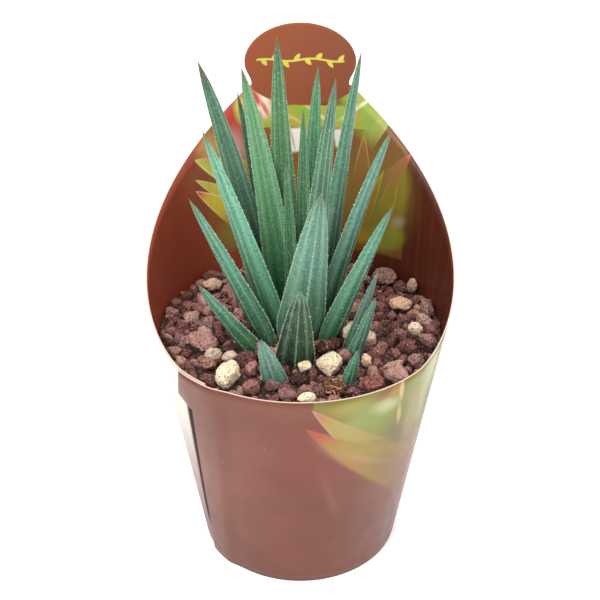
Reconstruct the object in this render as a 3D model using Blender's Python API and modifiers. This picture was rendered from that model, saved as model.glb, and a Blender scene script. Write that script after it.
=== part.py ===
"""Potted haworthia: a nursery pot with soil, gravel and a leaf rosette, standing in a conical card sleeve.

Row frame in metres: origin at the centre of the pot's flat underside, +Z up, front of the sleeve
towards -Y. Dimensions below are in millimetres and become metres in the builders.
"""

import bpy
import bmesh
import math
from mathutils import Vector, noise

MM = 0.001
FIT_GAP = 0.3                    # clearance between touching pieces

POT_HEIGHT = 71.0                # the pot's rim; the sleeve, soil and gravel follow it

# Card sleeve: a cone of thin card, low in front, rising behind to an arch with a rounded tab.
SLEEVE_BASE_RADIUS = 31.0        # outside radius at the floor
SLEEVE_FLARE = 0.155             # radius gained for each millimetre of height
CARD = 0.4                       # card thickness
FRONT_ABOVE_POT = 4.8            # from the pot's rim up to the sleeve's level front rim
ARCH_START = 50.0                # degrees from the front where the rim begins to rise
ARCH_END = 160.0                 # degrees from the front where the arch meets the tab
ARCH_RISE = 52.7                 # from the front rim up to the arch at ARCH_END
ARCH_POWER = 1.4                 # how much the arch sags before it climbs
NECK_RISE = 1.5                  # from the arch's height to the foot of the tab
NECK_HALF_WIDTH = 15.4
TAB_CENTRE_RISE = 7.0            # from the foot of the tab to the middle of its oval
TAB_HALF_WIDTH = 17.5
TAB_HALF_HEIGHT = 10.8
TAB_SPAN = 118.0                 # degrees of the tab's oval on each side of its top
FRONT_HEIGHT = POT_HEIGHT + FRONT_ABOVE_POT
ARCH_HEIGHT = FRONT_HEIGHT + ARCH_RISE
NECK_HEIGHT = ARCH_HEIGHT + NECK_RISE
TAB_CENTRE_HEIGHT = NECK_HEIGHT + TAB_CENTRE_RISE
SEAM_ANGLE = -50.0               # where the card's two ends cross, left of the front
SEAM_SLANT = -8.0                # degrees the seam drifts from its top to its foot
TONGUE_FOOT = 13.0               # height where the tongue and its slit begin
SHOULDER_DEPTH = 12.8            # from the front rim down to the top of the tongue and its slit
TONGUE_TOP = FRONT_HEIGHT - SHOULDER_DEPTH
TONGUE_REACH = 15.0              # degrees the tongue runs inside
FLAP_REACH = 4.6                 # degrees the shoulder flap laps over the outside
WHITE_END_REACH = 13.0           # degrees the other end runs under the front panel
LAP_CLEARANCE = 0.38             # air between two lapped cards
LAP_STEP = CARD + LAP_CLEARANCE  # radial step of one card lap

# Nursery pot: thin moulded plastic with a drained flat base.
TONGUE_CLEARANCE = 0.77          # air between the tongue and the pot's wall
POT_CLEARANCE = LAP_STEP + CARD + TONGUE_CLEARANCE
POT_WALL = 0.8
POT_FLOOR = 1.2
POT_LIP = 1.0                    # how far the rim stands out
POT_LIP_HEIGHT = 2.5
DRAIN_COUNT = 6
DRAIN_RADIUS = 3.0
DRAIN_INSET = 10.05              # from the pot's foot in to the circle of drain holes

# Soil, crown and gravel
SOIL_BELOW_RIM = 7.0             # from the pot's rim down to the soil
CROWN_RADIUS = 11.0
CROWN_RISE = 3.2                 # height of the crown above the soil
CROWN_AT = (-0.8, 0.2)
GRAVEL_ABOVE_RIM = 2.2           # from the pot's rim up to the mean height of the gravel
GRAVEL_LUMP = 0.9                # height of its lumps
GRAVEL_OVER_LIP = 0.6            # air between the pot's rim and the gravel that spreads over it
LEAF_WELL_MARGIN = 3.2           # from the crown to the opening in the gravel around the leaf bases
POCKET_CLEARANCE = 0.55          # air between a leaf's base and the gravel
SOIL_TOP = POT_HEIGHT - SOIL_BELOW_RIM
CROWN_TOP = SOIL_TOP + CROWN_RISE
GRAVEL_TOP = POT_HEIGHT + GRAVEL_ABOVE_RIM
GRAVEL_SHOULDER = POT_HEIGHT + GRAVEL_OVER_LIP
PLANTING_RADIUS = 41.646         # gravel radius that the leaves' and stones' sizes below are for

# Leaves
LEAF_RINGS = 12
LEAF_SECTION = (                 # across, outward: margin, channel, margin, keel
    (-1.0, -0.35), (-0.5, -0.12), (0.0, 0.0), (0.5, -0.12),
    (1.0, -0.35), (0.55, 0.45), (0.0, 0.85), (-0.55, 0.45),
)
# name: foot x, y and height above the crown; tip x, y and height above the crown;
# sideways bow x, y; width; thickness; facing in degrees; waist at the foot
LEAVES = {
    "leaf_front": (-1.2, -7.4, 0.4, 5.4, -15.0, 55.6, 0.0, -0.5, 14.0, 3.0, 10, 0.62),
    "leaf_front_short": (-2.0, -17.6, -1.2, 0.0, -24.0, 31.6, 0.0, -0.8, 11.5, 2.4, 0, 0.75),
    "leaf_left_low": (-11.2, -12.6, 2.3, -28.1, -15.0, 28.5, -0.6, 0.0, 8.5, 2.2, -35, 0.60),
    "leaf_left_mid": (-7.4, -8.2, 0.4, -29.6, -12.0, 52.9, 0.3, 0.0, 7.6, 2.4, -30, 0.55),
    "leaf_left_long": (-5.6, -3.6, 0.4, -25.9, -5.0, 69.5, 0.5, 0.0, 8.8, 2.2, -30, 0.45),
    "leaf_right_mid": (6.4, -7.2, 0.4, 25.4, -5.0, 47.5, -0.3, 0.0, 8.6, 2.4, 35, 0.55),
    "leaf_right_long": (5.4, -1.2, 0.4, 25.0, 3.0, 66.8, -1.3, 0.0, 8.0, 2.2, 35, 0.45),
    "leaf_right_tall": (5.6, 3.0, 0.4, 16.3, 9.0, 86.4, -0.6, 0.0, 7.4, 2.0, 30, 0.40),
    "leaf_keeled_tall": (1.6, -3.8, 0.4, 9.1, -4.0, 83.2, -0.6, 0.0, 7.8, 2.0, 12, 0.42),
    "leaf_back_right": (2.8, 7.2, 0.4, 4.9, 17.0, 79.4, -0.6, 0.0, 7.5, 1.8, 165, 0.40),
    "leaf_inner_dark": (1.0, 0.9, 0.4, 0.8, 8.0, 70.4, 0.0, 0.0, 5.6, 1.4, 175, 0.40),
    "leaf_inner_small": (-2.0, -1.6, 0.4, -4.1, 3.0, 57.6, 0.3, 0.0, 4.6, 1.2, -170, 0.45),
    "leaf_back_tall": (-1.6, 4.6, 0.4, -6.2, 10.5, 89.5, -0.8, 0.0, 9.0, 1.8, -175, 0.40),
    "leaf_left_broad": (-3.8, 1.2, 0.4, -15.8, 8.0, 82.0, 1.3, 0.0, 9.8, 2.0, -160, 0.40),
    "leaf_left_slim": (-5.4, 7.4, 0.4, -17.5, 14.0, 73.2, 0.5, 0.0, 5.6, 1.4, -150, 0.50),
    "leaf_left_tall": (-8.6, 3.0, 0.4, -27.4, 8.0, 83.9, 2.0, 0.0, 9.4, 2.0, -150, 0.38),
    "leaf_rear_left": (-2.6, 10.2, 0.4, -8.0, 24.0, 42.8, 0.0, 0.5, 6.5, 1.8, -160, 0.50),
    "leaf_rear_right": (4.6, 10.4, 0.4, 8.0, 24.0, 40.8, 0.0, 0.5, 6.5, 1.8, 160, 0.50),
    "offset_leaf_tall": (12.8, -11.4, -0.2, 21.4, -12.0, 31.0, 0.0, 0.0, 4.6, 1.4, 20, 0.80),
    "offset_leaf_low": (13.7, -16.3, -0.2, 20.8, -16.0, 25.0, 0.0, 0.0, 5.4, 1.5, 20, 0.80),
    "offset_leaf_tiny": (12.4, -29.2, 1.8, 15.7, -27.0, 14.9, 0.0, 0.0, 5.0, 1.3, 15, 0.90),
    "shoot_leaf": (-5.6, -28.4, 0.8, -10.7, -28.0, 18.9, 0.0, 0.0, 7.2, 1.6, 5, 0.95),
}

# Stones lying on the gravel. name: centre x, y and height above the gravel; half sizes; turn; stone type
STONES = {
    "pumice_oval": (-19.5, -29.0, 2.2, 3.3, 5.4, 3.2, -20, "pumice"),
    "pumice_round": (8.1, -23.3, 2.2, 3.7, 3.7, 3.0, 10, "pumice"),
    "pumice_egg": (14.2, -8.6, 2.6, 2.0, 2.0, 2.8, 15, "pumice"),
    "pumice_holed": (1.2, -24.4, 1.8, 2.0, 1.7, 1.4, 0, "pumice"),
    "pumice_front": (1.8, -38.4, 1.2, 2.7, 1.9, 1.5, -8, "pumice"),
    "pumice_tan_left": (-27.3, 20.1, 2.3, 3.0, 2.6, 1.9, 10, "pumice"),
    "pumice_tan_right": (30.5, 9.0, 2.0, 3.8, 3.2, 1.9, 0, "pumice"),
    "pumice_pale_right": (33.4, -5.7, 2.1, 2.3, 2.4, 1.8, 20, "pumice"),
    "pumice_wall": (34.8, 19.6, 2.1, 1.7, 2.0, 2.4, 0, "pumice"),
    "pumice_small": (18.4, -21.6, 2.0, 1.5, 1.7, 1.8, 15, "pumice"),
    "lava_flat_left": (-28.0, -12.0, 1.8, 4.6, 4.0, 2.1, 8, "lava"),
    "lava_behind_shoot": (-10.8, -18.2, 2.8, 2.0, 1.8, 2.9, 0, "lava"),
    "lava_left_front": (-25.6, -23.0, 1.7, 2.5, 2.4, 1.9, 20, "lava"),
    "lava_slab": (-13.4, -26.6, 2.1, 1.5, 3.0, 2.3, -30, "lava"),
    "lava_front_left": (-13.2, -34.4, 1.5, 2.4, 2.3, 2.0, 15, "lava"),
    "lava_front_mid": (-3.4, -37.6, 1.3, 2.5, 2.0, 1.9, -5, "lava"),
    "lava_purple_front": (-7.3, -32.6, 1.4, 2.6, 1.8, 1.7, 0, "lava"),
    "lava_pink_centre": (12.4, -18.9, 1.8, 2.2, 1.8, 1.9, 20, "lava"),
    "lava_angular_right": (26.0, -28.0, 1.9, 3.5, 3.4, 2.5, -25, "lava"),
    "lava_red_front": (19.6, -32.9, 1.6, 3.2, 2.5, 2.1, 15, "lava"),
    "lava_right_front": (32.2, -21.4, 1.7, 2.4, 2.4, 1.9, 10, "lava"),
    "lava_brown_right": (30.6, -14.6, 1.6, 2.7, 2.3, 1.9, 0, "lava"),
    "lava_big_right": (36.4, -11.4, 2.1, 2.7, 3.6, 2.3, 20, "lava"),
    "lava_grey_right": (38.2, 6.4, 2.2, 2.1, 3.0, 2.3, 0, "lava"),
    "lava_mauve_back": (26.6, 25.6, 2.0, 4.0, 3.4, 2.2, 0, "lava"),
    "lava_wall_left": (-27.6, 26.8, 1.8, 3.1, 2.7, 2.1, 0, "lava"),
}
# Coarse fibre and peat lumps. name: centre x, y and height above the gravel; half sizes
FIBRE_LUMPS = {
    "fibre_lump_centre": (6.8, -14.2, 1.6, 3.1, 2.2, 1.7),
    "fibre_lump_front": (9.4, -33.6, 1.4, 3.8, 3.2, 2.0),
    "peat_lump": (-0.4, -29.6, 1.3, 2.8, 2.3, 1.6),
}

for old in list(bpy.data.objects):
    bpy.data.objects.remove(old, do_unlink=True)

parts = bpy.data.collections.new("potted_haworthia")
cutters = bpy.data.collections.new("cutters")
bpy.context.scene.collection.children.link(parts)
bpy.context.scene.collection.children.link(cutters)


def material(name, colour, roughness, metallic=0.0):
    """A plain Principled material with the given linear colour."""
    made = bpy.data.materials.new(name)
    made.use_nodes = True
    shader = made.node_tree.nodes["Principled BSDF"]
    shader.inputs["Base Color"].default_value = (*colour, 1.0)
    shader.inputs["Roughness"].default_value = roughness
    shader.inputs["Metallic"].default_value = metallic
    made.diffuse_color = (*colour, 1.0)
    return made


def smoothstep(value):
    value = max(0.0, min(1.0, value))
    return value * value * (3.0 - 2.0 * value)


def add_object(name, bm, stuff, cutter=False, smooth=True):
    """Turn a bmesh into a named object with its own material."""
    bmesh.ops.recalc_face_normals(bm, faces=bm.faces)
    mesh = bpy.data.meshes.new(name)
    bm.to_mesh(mesh)
    bm.free()
    made = bpy.data.objects.new(name, mesh)
    for face in mesh.polygons:
        face.use_smooth = smooth
    if cutter:
        cutters.objects.link(made)
        made.hide_render = True
        made.display_type = "WIRE"
    else:
        parts.objects.link(made)
        mesh.materials.append(stuff)
    return made


def cut(target, cutter, solver="EXACT"):
    """Subtract a closed cutter with a Boolean."""
    step = target.modifiers.new("cut_" + cutter.name, "BOOLEAN")
    step.operation = "DIFFERENCE"
    step.solver = solver
    step.object = cutter


def around(angle, radius, height):
    """A point at an angle from the front, in metres; positive angles go towards +X."""
    turn = math.radians(angle)
    return Vector((radius * math.sin(turn), -radius * math.cos(turn), height)) * MM


def turned(name, profile, steps, stuff, centre=(0.0, 0.0)):
    """A closed profile of (radius, height) pairs turned about a vertical axis."""
    bm = bmesh.new()
    verts = [bm.verts.new((r * MM, 0.0, z * MM)) for r, z in profile]
    for first, second in zip(verts, verts[1:]):
        bm.edges.new((first, second))
    mesh = bpy.data.meshes.new(name)
    bm.to_mesh(mesh)
    bm.free()
    made = bpy.data.objects.new(name, mesh)
    made.location = (centre[0] * MM, centre[1] * MM, 0.0)
    parts.objects.link(made)
    mesh.materials.append(stuff)
    screw = made.modifiers.new("turn", "SCREW")
    screw.axis = "Z"
    screw.steps = steps
    screw.render_steps = steps
    screw.use_merge_vertices = True
    screw.merge_threshold = 0.00001
    screw.use_smooth_shade = True
    return made


def sleeve_radius(height):
    """Outside radius of the sleeve's cone at a height."""
    return SLEEVE_BASE_RADIUS + SLEEVE_FLARE * height


def rim_height(angle):
    """Rim height of the sleeve at an angle from the front, below the tab."""
    share = max(0.0, (abs(angle) - ARCH_START) / (ARCH_END - ARCH_START))
    return min(NECK_HEIGHT, FRONT_HEIGHT + (ARCH_HEIGHT - FRONT_HEIGHT) * share ** ARCH_POWER)


def planting_scale():
    """Size of the planting against its tables: a wider sleeve holds a larger plant and stones."""
    return (sleeve_radius(GRAVEL_TOP) - CARD - FIT_GAP) / PLANTING_RADIUS


def sleeve_columns():
    """Angles along the card strip, from the tongue's end round to the other end."""
    neck = math.degrees(NECK_HALF_WIDTH / sleeve_radius(NECK_HEIGHT))
    tongue = [SEAM_ANGLE - TONGUE_REACH, SEAM_ANGLE - TONGUE_REACH / 2, SEAM_ANGLE - 3.0, SEAM_ANGLE - 1.2]
    front = [SEAM_ANGLE, SEAM_ANGLE + 1.4]
    front += [-45.0, -39.0, -34.0, -28.0]
    front += [-28.0 + 7.0 * n for n in range(1, 26)]
    last = front[-1]
    while last + 6.0 < 180.0 - neck:
        last += 5.0
        front.append(last)
    tab = [180.0 + neck * (2.0 * n / 20 - 1.0) for n in range(21)]
    back = [180.0 + neck + 5.0 * n for n in range(1, 20)]
    back = [angle for angle in back if angle < 293.0]
    white = [299.0, 304.0, 308.2, 310.9, 313.5, 318.0, 360.0 + SEAM_ANGLE + WHITE_END_REACH]
    return tongue, front, tab, back, white


def lap_offset(angle, height):
    """Radial step of the strip: out over the seam, in behind it, level elsewhere."""
    if angle > 180.0:
        return 0.0
    outside = LAP_STEP * (1.0 - smoothstep((angle + 35.0) / 9.0))
    inside = smoothstep((SEAM_ANGLE + 1.4 - angle) / 4.4)
    if height > TONGUE_TOP + 0.1:
        inside = 0.0
    return outside - 2.0 * LAP_STEP * inside


def seam_shift(angle, height):
    """Slant of the seam: full beside it, fading out forty degrees away."""
    near = min(abs(angle - SEAM_ANGLE), abs(angle - 360.0 - SEAM_ANGLE))
    share = smoothstep(1.0 - (near - 16.0) / 30.0)
    drop = (TONGUE_TOP - min(height, TONGUE_TOP)) / (TONGUE_TOP - TONGUE_FOOT)
    return SEAM_SLANT * drop * share


def make_sleeve(stuff):
    """The sleeve: one strip of card with a slit, a tongue, a shoulder flap and a tab."""
    tongue, front, tab, back, white = sleeve_columns()
    columns = tongue + front + tab + back + white
    middle = (TONGUE_FOOT + TONGUE_TOP) / 2
    shares = [height / FRONT_HEIGHT for height in (0.0, TONGUE_FOOT, middle, TONGUE_TOP, FRONT_HEIGHT)]
    bm = bmesh.new()
    bmesh.ops.create_grid(bm, x_segments=len(columns) - 1, y_segments=len(shares) - 1, size=1.0)
    bm.verts.ensure_lookup_table()
    place = {}
    for vert in bm.verts:
        column = round((vert.co.x + 1.0) / 2.0 * (len(columns) - 1))
        row = round((vert.co.y + 1.0) / 2.0 * (len(shares) - 1))
        place[vert] = (column, row)
    first = len(tongue)
    slit = [columns.index(308.2), columns.index(310.9)]
    doomed = []
    for face in bm.faces:
        corners = [place[vert] for vert in face.verts]
        column = min(c for c, _ in corners)
        row = min(r for _, r in corners)
        if column < first and row not in (1, 2):
            doomed.append(face)
        if slit[0] <= column < slit[1] + 1 and row in (1, 2):
            doomed.append(face)
    bmesh.ops.delete(bm, geom=doomed, context="FACES")
    for vert in bm.verts:
        column, row = place[vert]
        angle = columns[column]
        height = rim_height(angle if angle <= 180.0 else angle - 360.0) * shares[row]
        turn = angle + seam_shift(angle, height)
        if column < first and row == 3:
            height -= 0.8
        radius = sleeve_radius(height) + lap_offset(angle, height)
        vert.co = around(turn, radius, height)
    # The shoulder flap beside the top of the seam, lapped over the outside.
    edge = [vert for vert in bm.verts if place[vert] in ((first, 3), (first, 4))]
    edge.sort(key=lambda vert: place[vert][1])
    flap_height = TONGUE_TOP + 2.8
    lap = sleeve_radius(flap_height) + LAP_STEP
    tip = bm.verts.new(around(SEAM_ANGLE - FLAP_REACH, lap, flap_height))
    low, high = edge
    bm.faces.new((low, high, tip))
    # The tab, fanned from the neck line to its oval outline.
    start = columns.index(tab[0])
    neck_line = sorted(
        (vert for vert in bm.verts if vert in place and place[vert][1] == 4
         and start <= place[vert][0] < start + len(tab)),
        key=lambda vert: place[vert][0],
    )
    rows = 5
    previous = neck_line
    for step in range(1, rows + 1):
        share = step / rows
        current = []
        for index in range(len(tab)):
            side = 2.0 * index / (len(tab) - 1) - 1.0
            turn = math.radians(TAB_SPAN * side)
            across = NECK_HALF_WIDTH * side * (1.0 - share) + TAB_HALF_WIDTH * math.sin(turn) * share
            top = TAB_CENTRE_HEIGHT + TAB_HALF_HEIGHT * math.cos(turn)
            height = NECK_HEIGHT * (1.0 - share) + top * share
            radius = sleeve_radius(height)
            current.append(bm.verts.new(around(180.0 + math.degrees(across / radius), radius, height)))
        for index in range(len(tab) - 1):
            bm.faces.new((previous[index], previous[index + 1], current[index + 1], current[index]))
        previous = current
    bmesh.ops.remove_doubles(bm, verts=bm.verts, dist=1e-6)
    made = add_object("sleeve", bm, stuff)
    outward = sum(face.normal.dot(face.center.xyz * Vector((1, 1, 0))) for face in made.data.polygons)
    if outward < 0.0:
        made.data.flip_normals()
    shell = made.modifiers.new("card", "SOLIDIFY")
    shell.thickness = CARD * MM
    shell.offset = -1.0
    return made


def pot_radius(height):
    """Outside radius of the nursery pot's wall."""
    return sleeve_radius(height) - POT_CLEARANCE


def make_pot(stuff):
    """Nursery pot: turned thin wall with a rim and a flat drained base."""
    lip_foot = POT_HEIGHT - POT_LIP_HEIGHT
    inner_floor = pot_radius(POT_FLOOR) - POT_WALL
    profile = [
        (0.0, POT_FLOOR), (inner_floor, POT_FLOOR), (pot_radius(POT_HEIGHT) - POT_WALL, POT_HEIGHT),
        (pot_radius(POT_HEIGHT) + POT_LIP, POT_HEIGHT), (pot_radius(lip_foot) + POT_LIP, lip_foot),
        (pot_radius(lip_foot), lip_foot), (pot_radius(0.0), 0.0), (0.0, 0.0),
    ]
    pot = turned("nursery_pot", profile, 56, stuff)
    for index in range(DRAIN_COUNT):
        bm = bmesh.new()
        bmesh.ops.create_cone(
            bm, cap_ends=True, segments=16, radius1=DRAIN_RADIUS * MM,
            radius2=DRAIN_RADIUS * MM, depth=(POT_FLOOR + 3.0) * MM,
        )
        drain = add_object(f"drain_{index}", bm, None, cutter=True)
        drain.location = around(360.0 * index / DRAIN_COUNT, pot_radius(0.0) - DRAIN_INSET, POT_FLOOR / 2)
        cut(pot, drain)
    return pot


def make_soil(stuff):
    """Root ball that fills the pot below the gravel."""
    inset = POT_WALL + FIT_GAP
    foot = POT_FLOOR + FIT_GAP
    profile = [
        (0.0, SOIL_TOP), (pot_radius(SOIL_TOP) - inset, SOIL_TOP),
        (pot_radius(foot) - inset, foot), (0.0, foot),
    ]
    return turned("root_ball", profile, 40, stuff)


def make_crown(stuff):
    """Short stem disc that the rosette's leaves grow from."""
    foot = SOIL_TOP + FIT_GAP
    radius = CROWN_RADIUS * planting_scale()
    profile = [
        (0.0, CROWN_TOP), (radius * 0.86, CROWN_TOP - 0.2), (radius, CROWN_TOP - 1.4),
        (radius * 0.8, foot), (0.0, foot),
    ]
    centre = [offset * planting_scale() for offset in CROWN_AT]
    return turned("crown", profile, 20, stuff, centre)


def planted(row, base):
    """A table row's first three lengths as a place in the row frame, above a base height."""
    scale = planting_scale()
    return (row[0] * scale, row[1] * scale, base + row[2] * scale)


def leaf_row(name):
    """A leaf's foot, tip, bow, width, thickness, facing and waist, at its real size and place."""
    row = LEAVES[name]
    scale = planting_scale()
    lengths = tuple(length * scale for length in row[6:10])
    return planted(row[0:3], CROWN_TOP) + planted(row[3:6], CROWN_TOP) + lengths + row[10:]


def bed_row(row):
    """A stone's or lump's centre, half sizes and the rest of its row, at its real size and place."""
    scale = planting_scale()
    return planted(row[0:3], GRAVEL_TOP) + tuple(size * scale for size in row[3:6]) + row[6:]


def leaf_spine(leaf, drop, share):
    """Point and direction of a leaf's midline, a three-point curve, at a share of its length."""
    foot = Vector(leaf[0:3])
    tip = Vector(leaf[3:6])
    foot -= (tip - foot).normalized() * drop
    middle = (foot + tip) / 2 + Vector((leaf[6], leaf[7], 0.0)) * 2.0
    point = foot * (1 - share) ** 2 + middle * 2 * share * (1 - share) + tip * share ** 2
    slope = (middle - foot) * (1 - share) + (tip - middle) * share
    return point, slope.normalized()


def leaf_widths(leaf, share):
    """Half width and thickness of a leaf: waisted foot, fullest low down, long taper."""
    width, thickness, _, waist = leaf[8:]
    swell = waist + (1.0 - waist) * smoothstep(share / 0.22)
    taper = min(1.0, (1.0 - share) / 0.78) ** 0.55
    return width / 2 * swell * taper, thickness * (0.25 + 0.75 * swell) * taper


def make_leaf(name, stuff, grow=0.0, until=1.0, drop=0.0, cutter=False):
    """A leaf lofted through keeled sections, ending in a point; cutters stop short and are capped."""
    leaf = leaf_row(name)
    facing = math.radians(leaf[10])
    back = Vector((math.sin(facing), -math.cos(facing), 0.0))
    bm = bmesh.new()
    rings = []
    for index in range(LEAF_RINGS):
        share = until * index / (LEAF_RINGS if until == 1.0 else LEAF_RINGS - 1)
        point, along = leaf_spine(leaf, drop, share)
        outward = (back - along * back.dot(along)).normalized()
        side = along.cross(outward)
        half, depth = leaf_widths(leaf, share)
        ring = []
        for across, out in LEAF_SECTION:
            reach = Vector((across * half, out * depth, 0.0))
            if grow:
                reach += Vector((across, out - 0.2, 0.0)).normalized() * grow
            spot = point + side * reach.x + outward * reach.y
            ring.append(bm.verts.new(spot * MM))
        rings.append(ring)
    count = len(LEAF_SECTION)
    for low, high in zip(rings, rings[1:]):
        for index in range(count):
            following = (index + 1) % count
            bm.faces.new((low[index], low[following], high[following], high[index]))
    bm.faces.new(rings[0])
    if until == 1.0:
        tip = bm.verts.new(leaf_spine(leaf, drop, 1.0)[0] * MM)
        for index in range(count):
            bm.faces.new((rings[-1][index], rings[-1][(index + 1) % count], tip))
    else:
        bm.faces.new(rings[-1])
    return add_object(name + ("_pocket" if cutter else ""), bm, stuff, cutter)


def stone_mesh(place, seed, grow=0.0, chips=0.16):
    """A rounded, slightly chipped pebble from an icosphere, in millimetres about its centre."""
    x, y, z, half_x, half_y, half_z, turn = place[:7]
    bm = bmesh.new()
    bmesh.ops.create_icosphere(bm, subdivisions=2, radius=1.0)
    spin = math.radians(turn)
    for vert in bm.verts:
        way = vert.co.normalized()
        bump = 1.0 + chips * noise.noise(way * 1.6 + Vector((seed * 3.7, seed * 1.3, seed * 2.1)))
        local = Vector((way.x * half_x, way.y * half_y, way.z * half_z)) * bump
        local += way * grow
        turned_x = local.x * math.cos(spin) - local.y * math.sin(spin)
        turned_y = local.x * math.sin(spin) + local.y * math.cos(spin)
        vert.co = Vector((x + turned_x, y + turned_y, z + local.z)) * MM
    return bm


def make_gravel(stuff):
    """Lumpy gravel layer with an opening round the leaves and a seat for every stone and shoot."""
    rim = pot_radius(SOIL_TOP) - POT_WALL - FIT_GAP
    wall = pot_radius(GRAVEL_SHOULDER - 1.0) - POT_WALL - FIT_GAP
    over = sleeve_radius(GRAVEL_SHOULDER) - CARD - FIT_GAP - 0.1
    foot = SOIL_TOP + FIT_GAP
    profile = [(0.0, foot), (rim, foot), (wall, GRAVEL_SHOULDER - 1.0), (wall, GRAVEL_SHOULDER)]
    profile += [(over, GRAVEL_SHOULDER), (over - 0.6, GRAVEL_TOP - 0.4)]
    profile += [(over - 1.4 - 4.2 * n, GRAVEL_TOP) for n in range(9)]
    bm = bmesh.new()
    line = [bm.verts.new((r * MM, 0.0, z * MM)) for r, z in profile] + [bm.verts.new((0, 0, GRAVEL_TOP * MM))]
    edges = [bm.edges.new(pair) for pair in zip(line, line[1:])]
    bmesh.ops.spin(
        bm, geom=line + edges, axis=(0, 0, 1), cent=(0, 0, 0), steps=44,
        angle=math.tau, use_merge=True,
    )
    bmesh.ops.remove_doubles(bm, verts=bm.verts, dist=1e-6)
    for vert in bm.verts:
        if vert.co.z > (GRAVEL_TOP - 0.2) * MM:
            spot = vert.co / MM
            lump = noise.noise(Vector((spot.x, spot.y, 4.0)) * 0.33)
            vert.co.z += GRAVEL_LUMP * lump * MM
    bed = add_object("gravel_bed", bm, stuff)
    bm = bmesh.new()
    bmesh.ops.create_cone(bm, cap_ends=True, segments=24, radius1=1.0, radius2=1.0, depth=1.0)
    for vert in bm.verts:
        low = vert.co.z < 0
        vert.co.x = (CROWN_AT[0] + vert.co.x * (CROWN_RADIUS + LEAF_WELL_MARGIN)) * planting_scale() * MM
        vert.co.y = (CROWN_AT[1] + vert.co.y * (CROWN_RADIUS + LEAF_WELL_MARGIN)) * planting_scale() * MM
        vert.co.z = (SOIL_TOP - 2.0 if low else GRAVEL_TOP + 6.0) * MM
    cut(bed, add_object("leaf_well", bm, None, cutter=True), "MANIFOLD")
    # Some fifty cuts in a row: EXACT loses the bed at some sizes, MANIFOLD keeps it.
    for name in LEAVES:
        pocket = make_leaf(name, None, grow=POCKET_CLEARANCE, until=0.55, drop=1.2, cutter=True)
        cut(bed, pocket, "MANIFOLD")
    for seed, (name, place) in enumerate(STONES.items()):
        seat = add_object(name + "_seat", stone_mesh(bed_row(place), seed, FIT_GAP), None, cutter=True)
        cut(bed, seat, "MANIFOLD")
    for seed, (name, place) in enumerate(FIBRE_LUMPS.items()):
        lump = stone_mesh((*bed_row(place), 0.0), seed + 40, FIT_GAP)
        cut(bed, add_object(name + "_seat", lump, None, cutter=True), "MANIFOLD")
    return bed


card = material("printed_card", (0.33, 0.14, 0.11), 0.32)
plastic = material("pot_plastic", (0.05, 0.045, 0.04), 0.5)
soil = material("soil", (0.055, 0.032, 0.02), 0.95)
stem = material("stem", (0.30, 0.27, 0.12), 0.8)
gravel = material("gravel", (0.20, 0.10, 0.085), 0.95)
lava = material("lava_stone", (0.27, 0.13, 0.12), 0.95)
pumice = material("pumice", (0.72, 0.62, 0.45), 0.92)
fibre = material("coir_fibre", (0.14, 0.075, 0.045), 0.95)
leaf_skin = material("leaf_skin", (0.12, 0.27, 0.17), 0.42)

make_sleeve(card)
make_pot(plastic)
make_soil(soil)
make_crown(stem)
make_gravel(gravel)
for leaf_name in LEAVES:
    make_leaf(leaf_name, leaf_skin)
for number, (stone_name, spot) in enumerate(STONES.items()):
    skin = pumice if spot[7] == "pumice" else lava
    add_object(stone_name, stone_mesh(bed_row(spot), number), skin)
for number, (lump_name, spot) in enumerate(FIBRE_LUMPS.items()):
    add_object(lump_name, stone_mesh((*bed_row(spot), 0.0), number + 40), fibre)
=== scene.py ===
"""Looks of the potted haworthia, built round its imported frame.

The sleeve, the leaves, the stones, the fibre lumps and the gravel are fine surfaces worked out with numpy in
the places of their CAD nodes. The pot, the root ball and the crown keep their CAD solids and get finished
materials. Lengths are metres, +Z is up and the sleeve's front looks towards -Y.
"""

import functools
import itertools
import math

import bmesh
import bpy
import numpy as np
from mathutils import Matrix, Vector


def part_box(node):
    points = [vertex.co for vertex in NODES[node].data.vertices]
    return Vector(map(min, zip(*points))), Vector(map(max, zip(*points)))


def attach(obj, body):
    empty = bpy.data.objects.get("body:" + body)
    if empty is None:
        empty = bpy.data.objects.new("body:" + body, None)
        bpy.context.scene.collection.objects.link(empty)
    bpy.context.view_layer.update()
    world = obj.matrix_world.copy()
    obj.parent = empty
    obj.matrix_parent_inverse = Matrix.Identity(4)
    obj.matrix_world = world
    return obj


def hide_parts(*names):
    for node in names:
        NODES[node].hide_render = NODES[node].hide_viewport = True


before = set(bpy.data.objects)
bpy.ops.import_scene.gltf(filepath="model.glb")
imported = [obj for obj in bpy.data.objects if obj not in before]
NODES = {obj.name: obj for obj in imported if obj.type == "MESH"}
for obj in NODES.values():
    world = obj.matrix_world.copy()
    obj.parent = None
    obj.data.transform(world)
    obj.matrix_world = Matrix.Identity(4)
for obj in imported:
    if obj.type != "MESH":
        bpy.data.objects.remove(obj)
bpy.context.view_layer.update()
MM = 0.001

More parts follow.
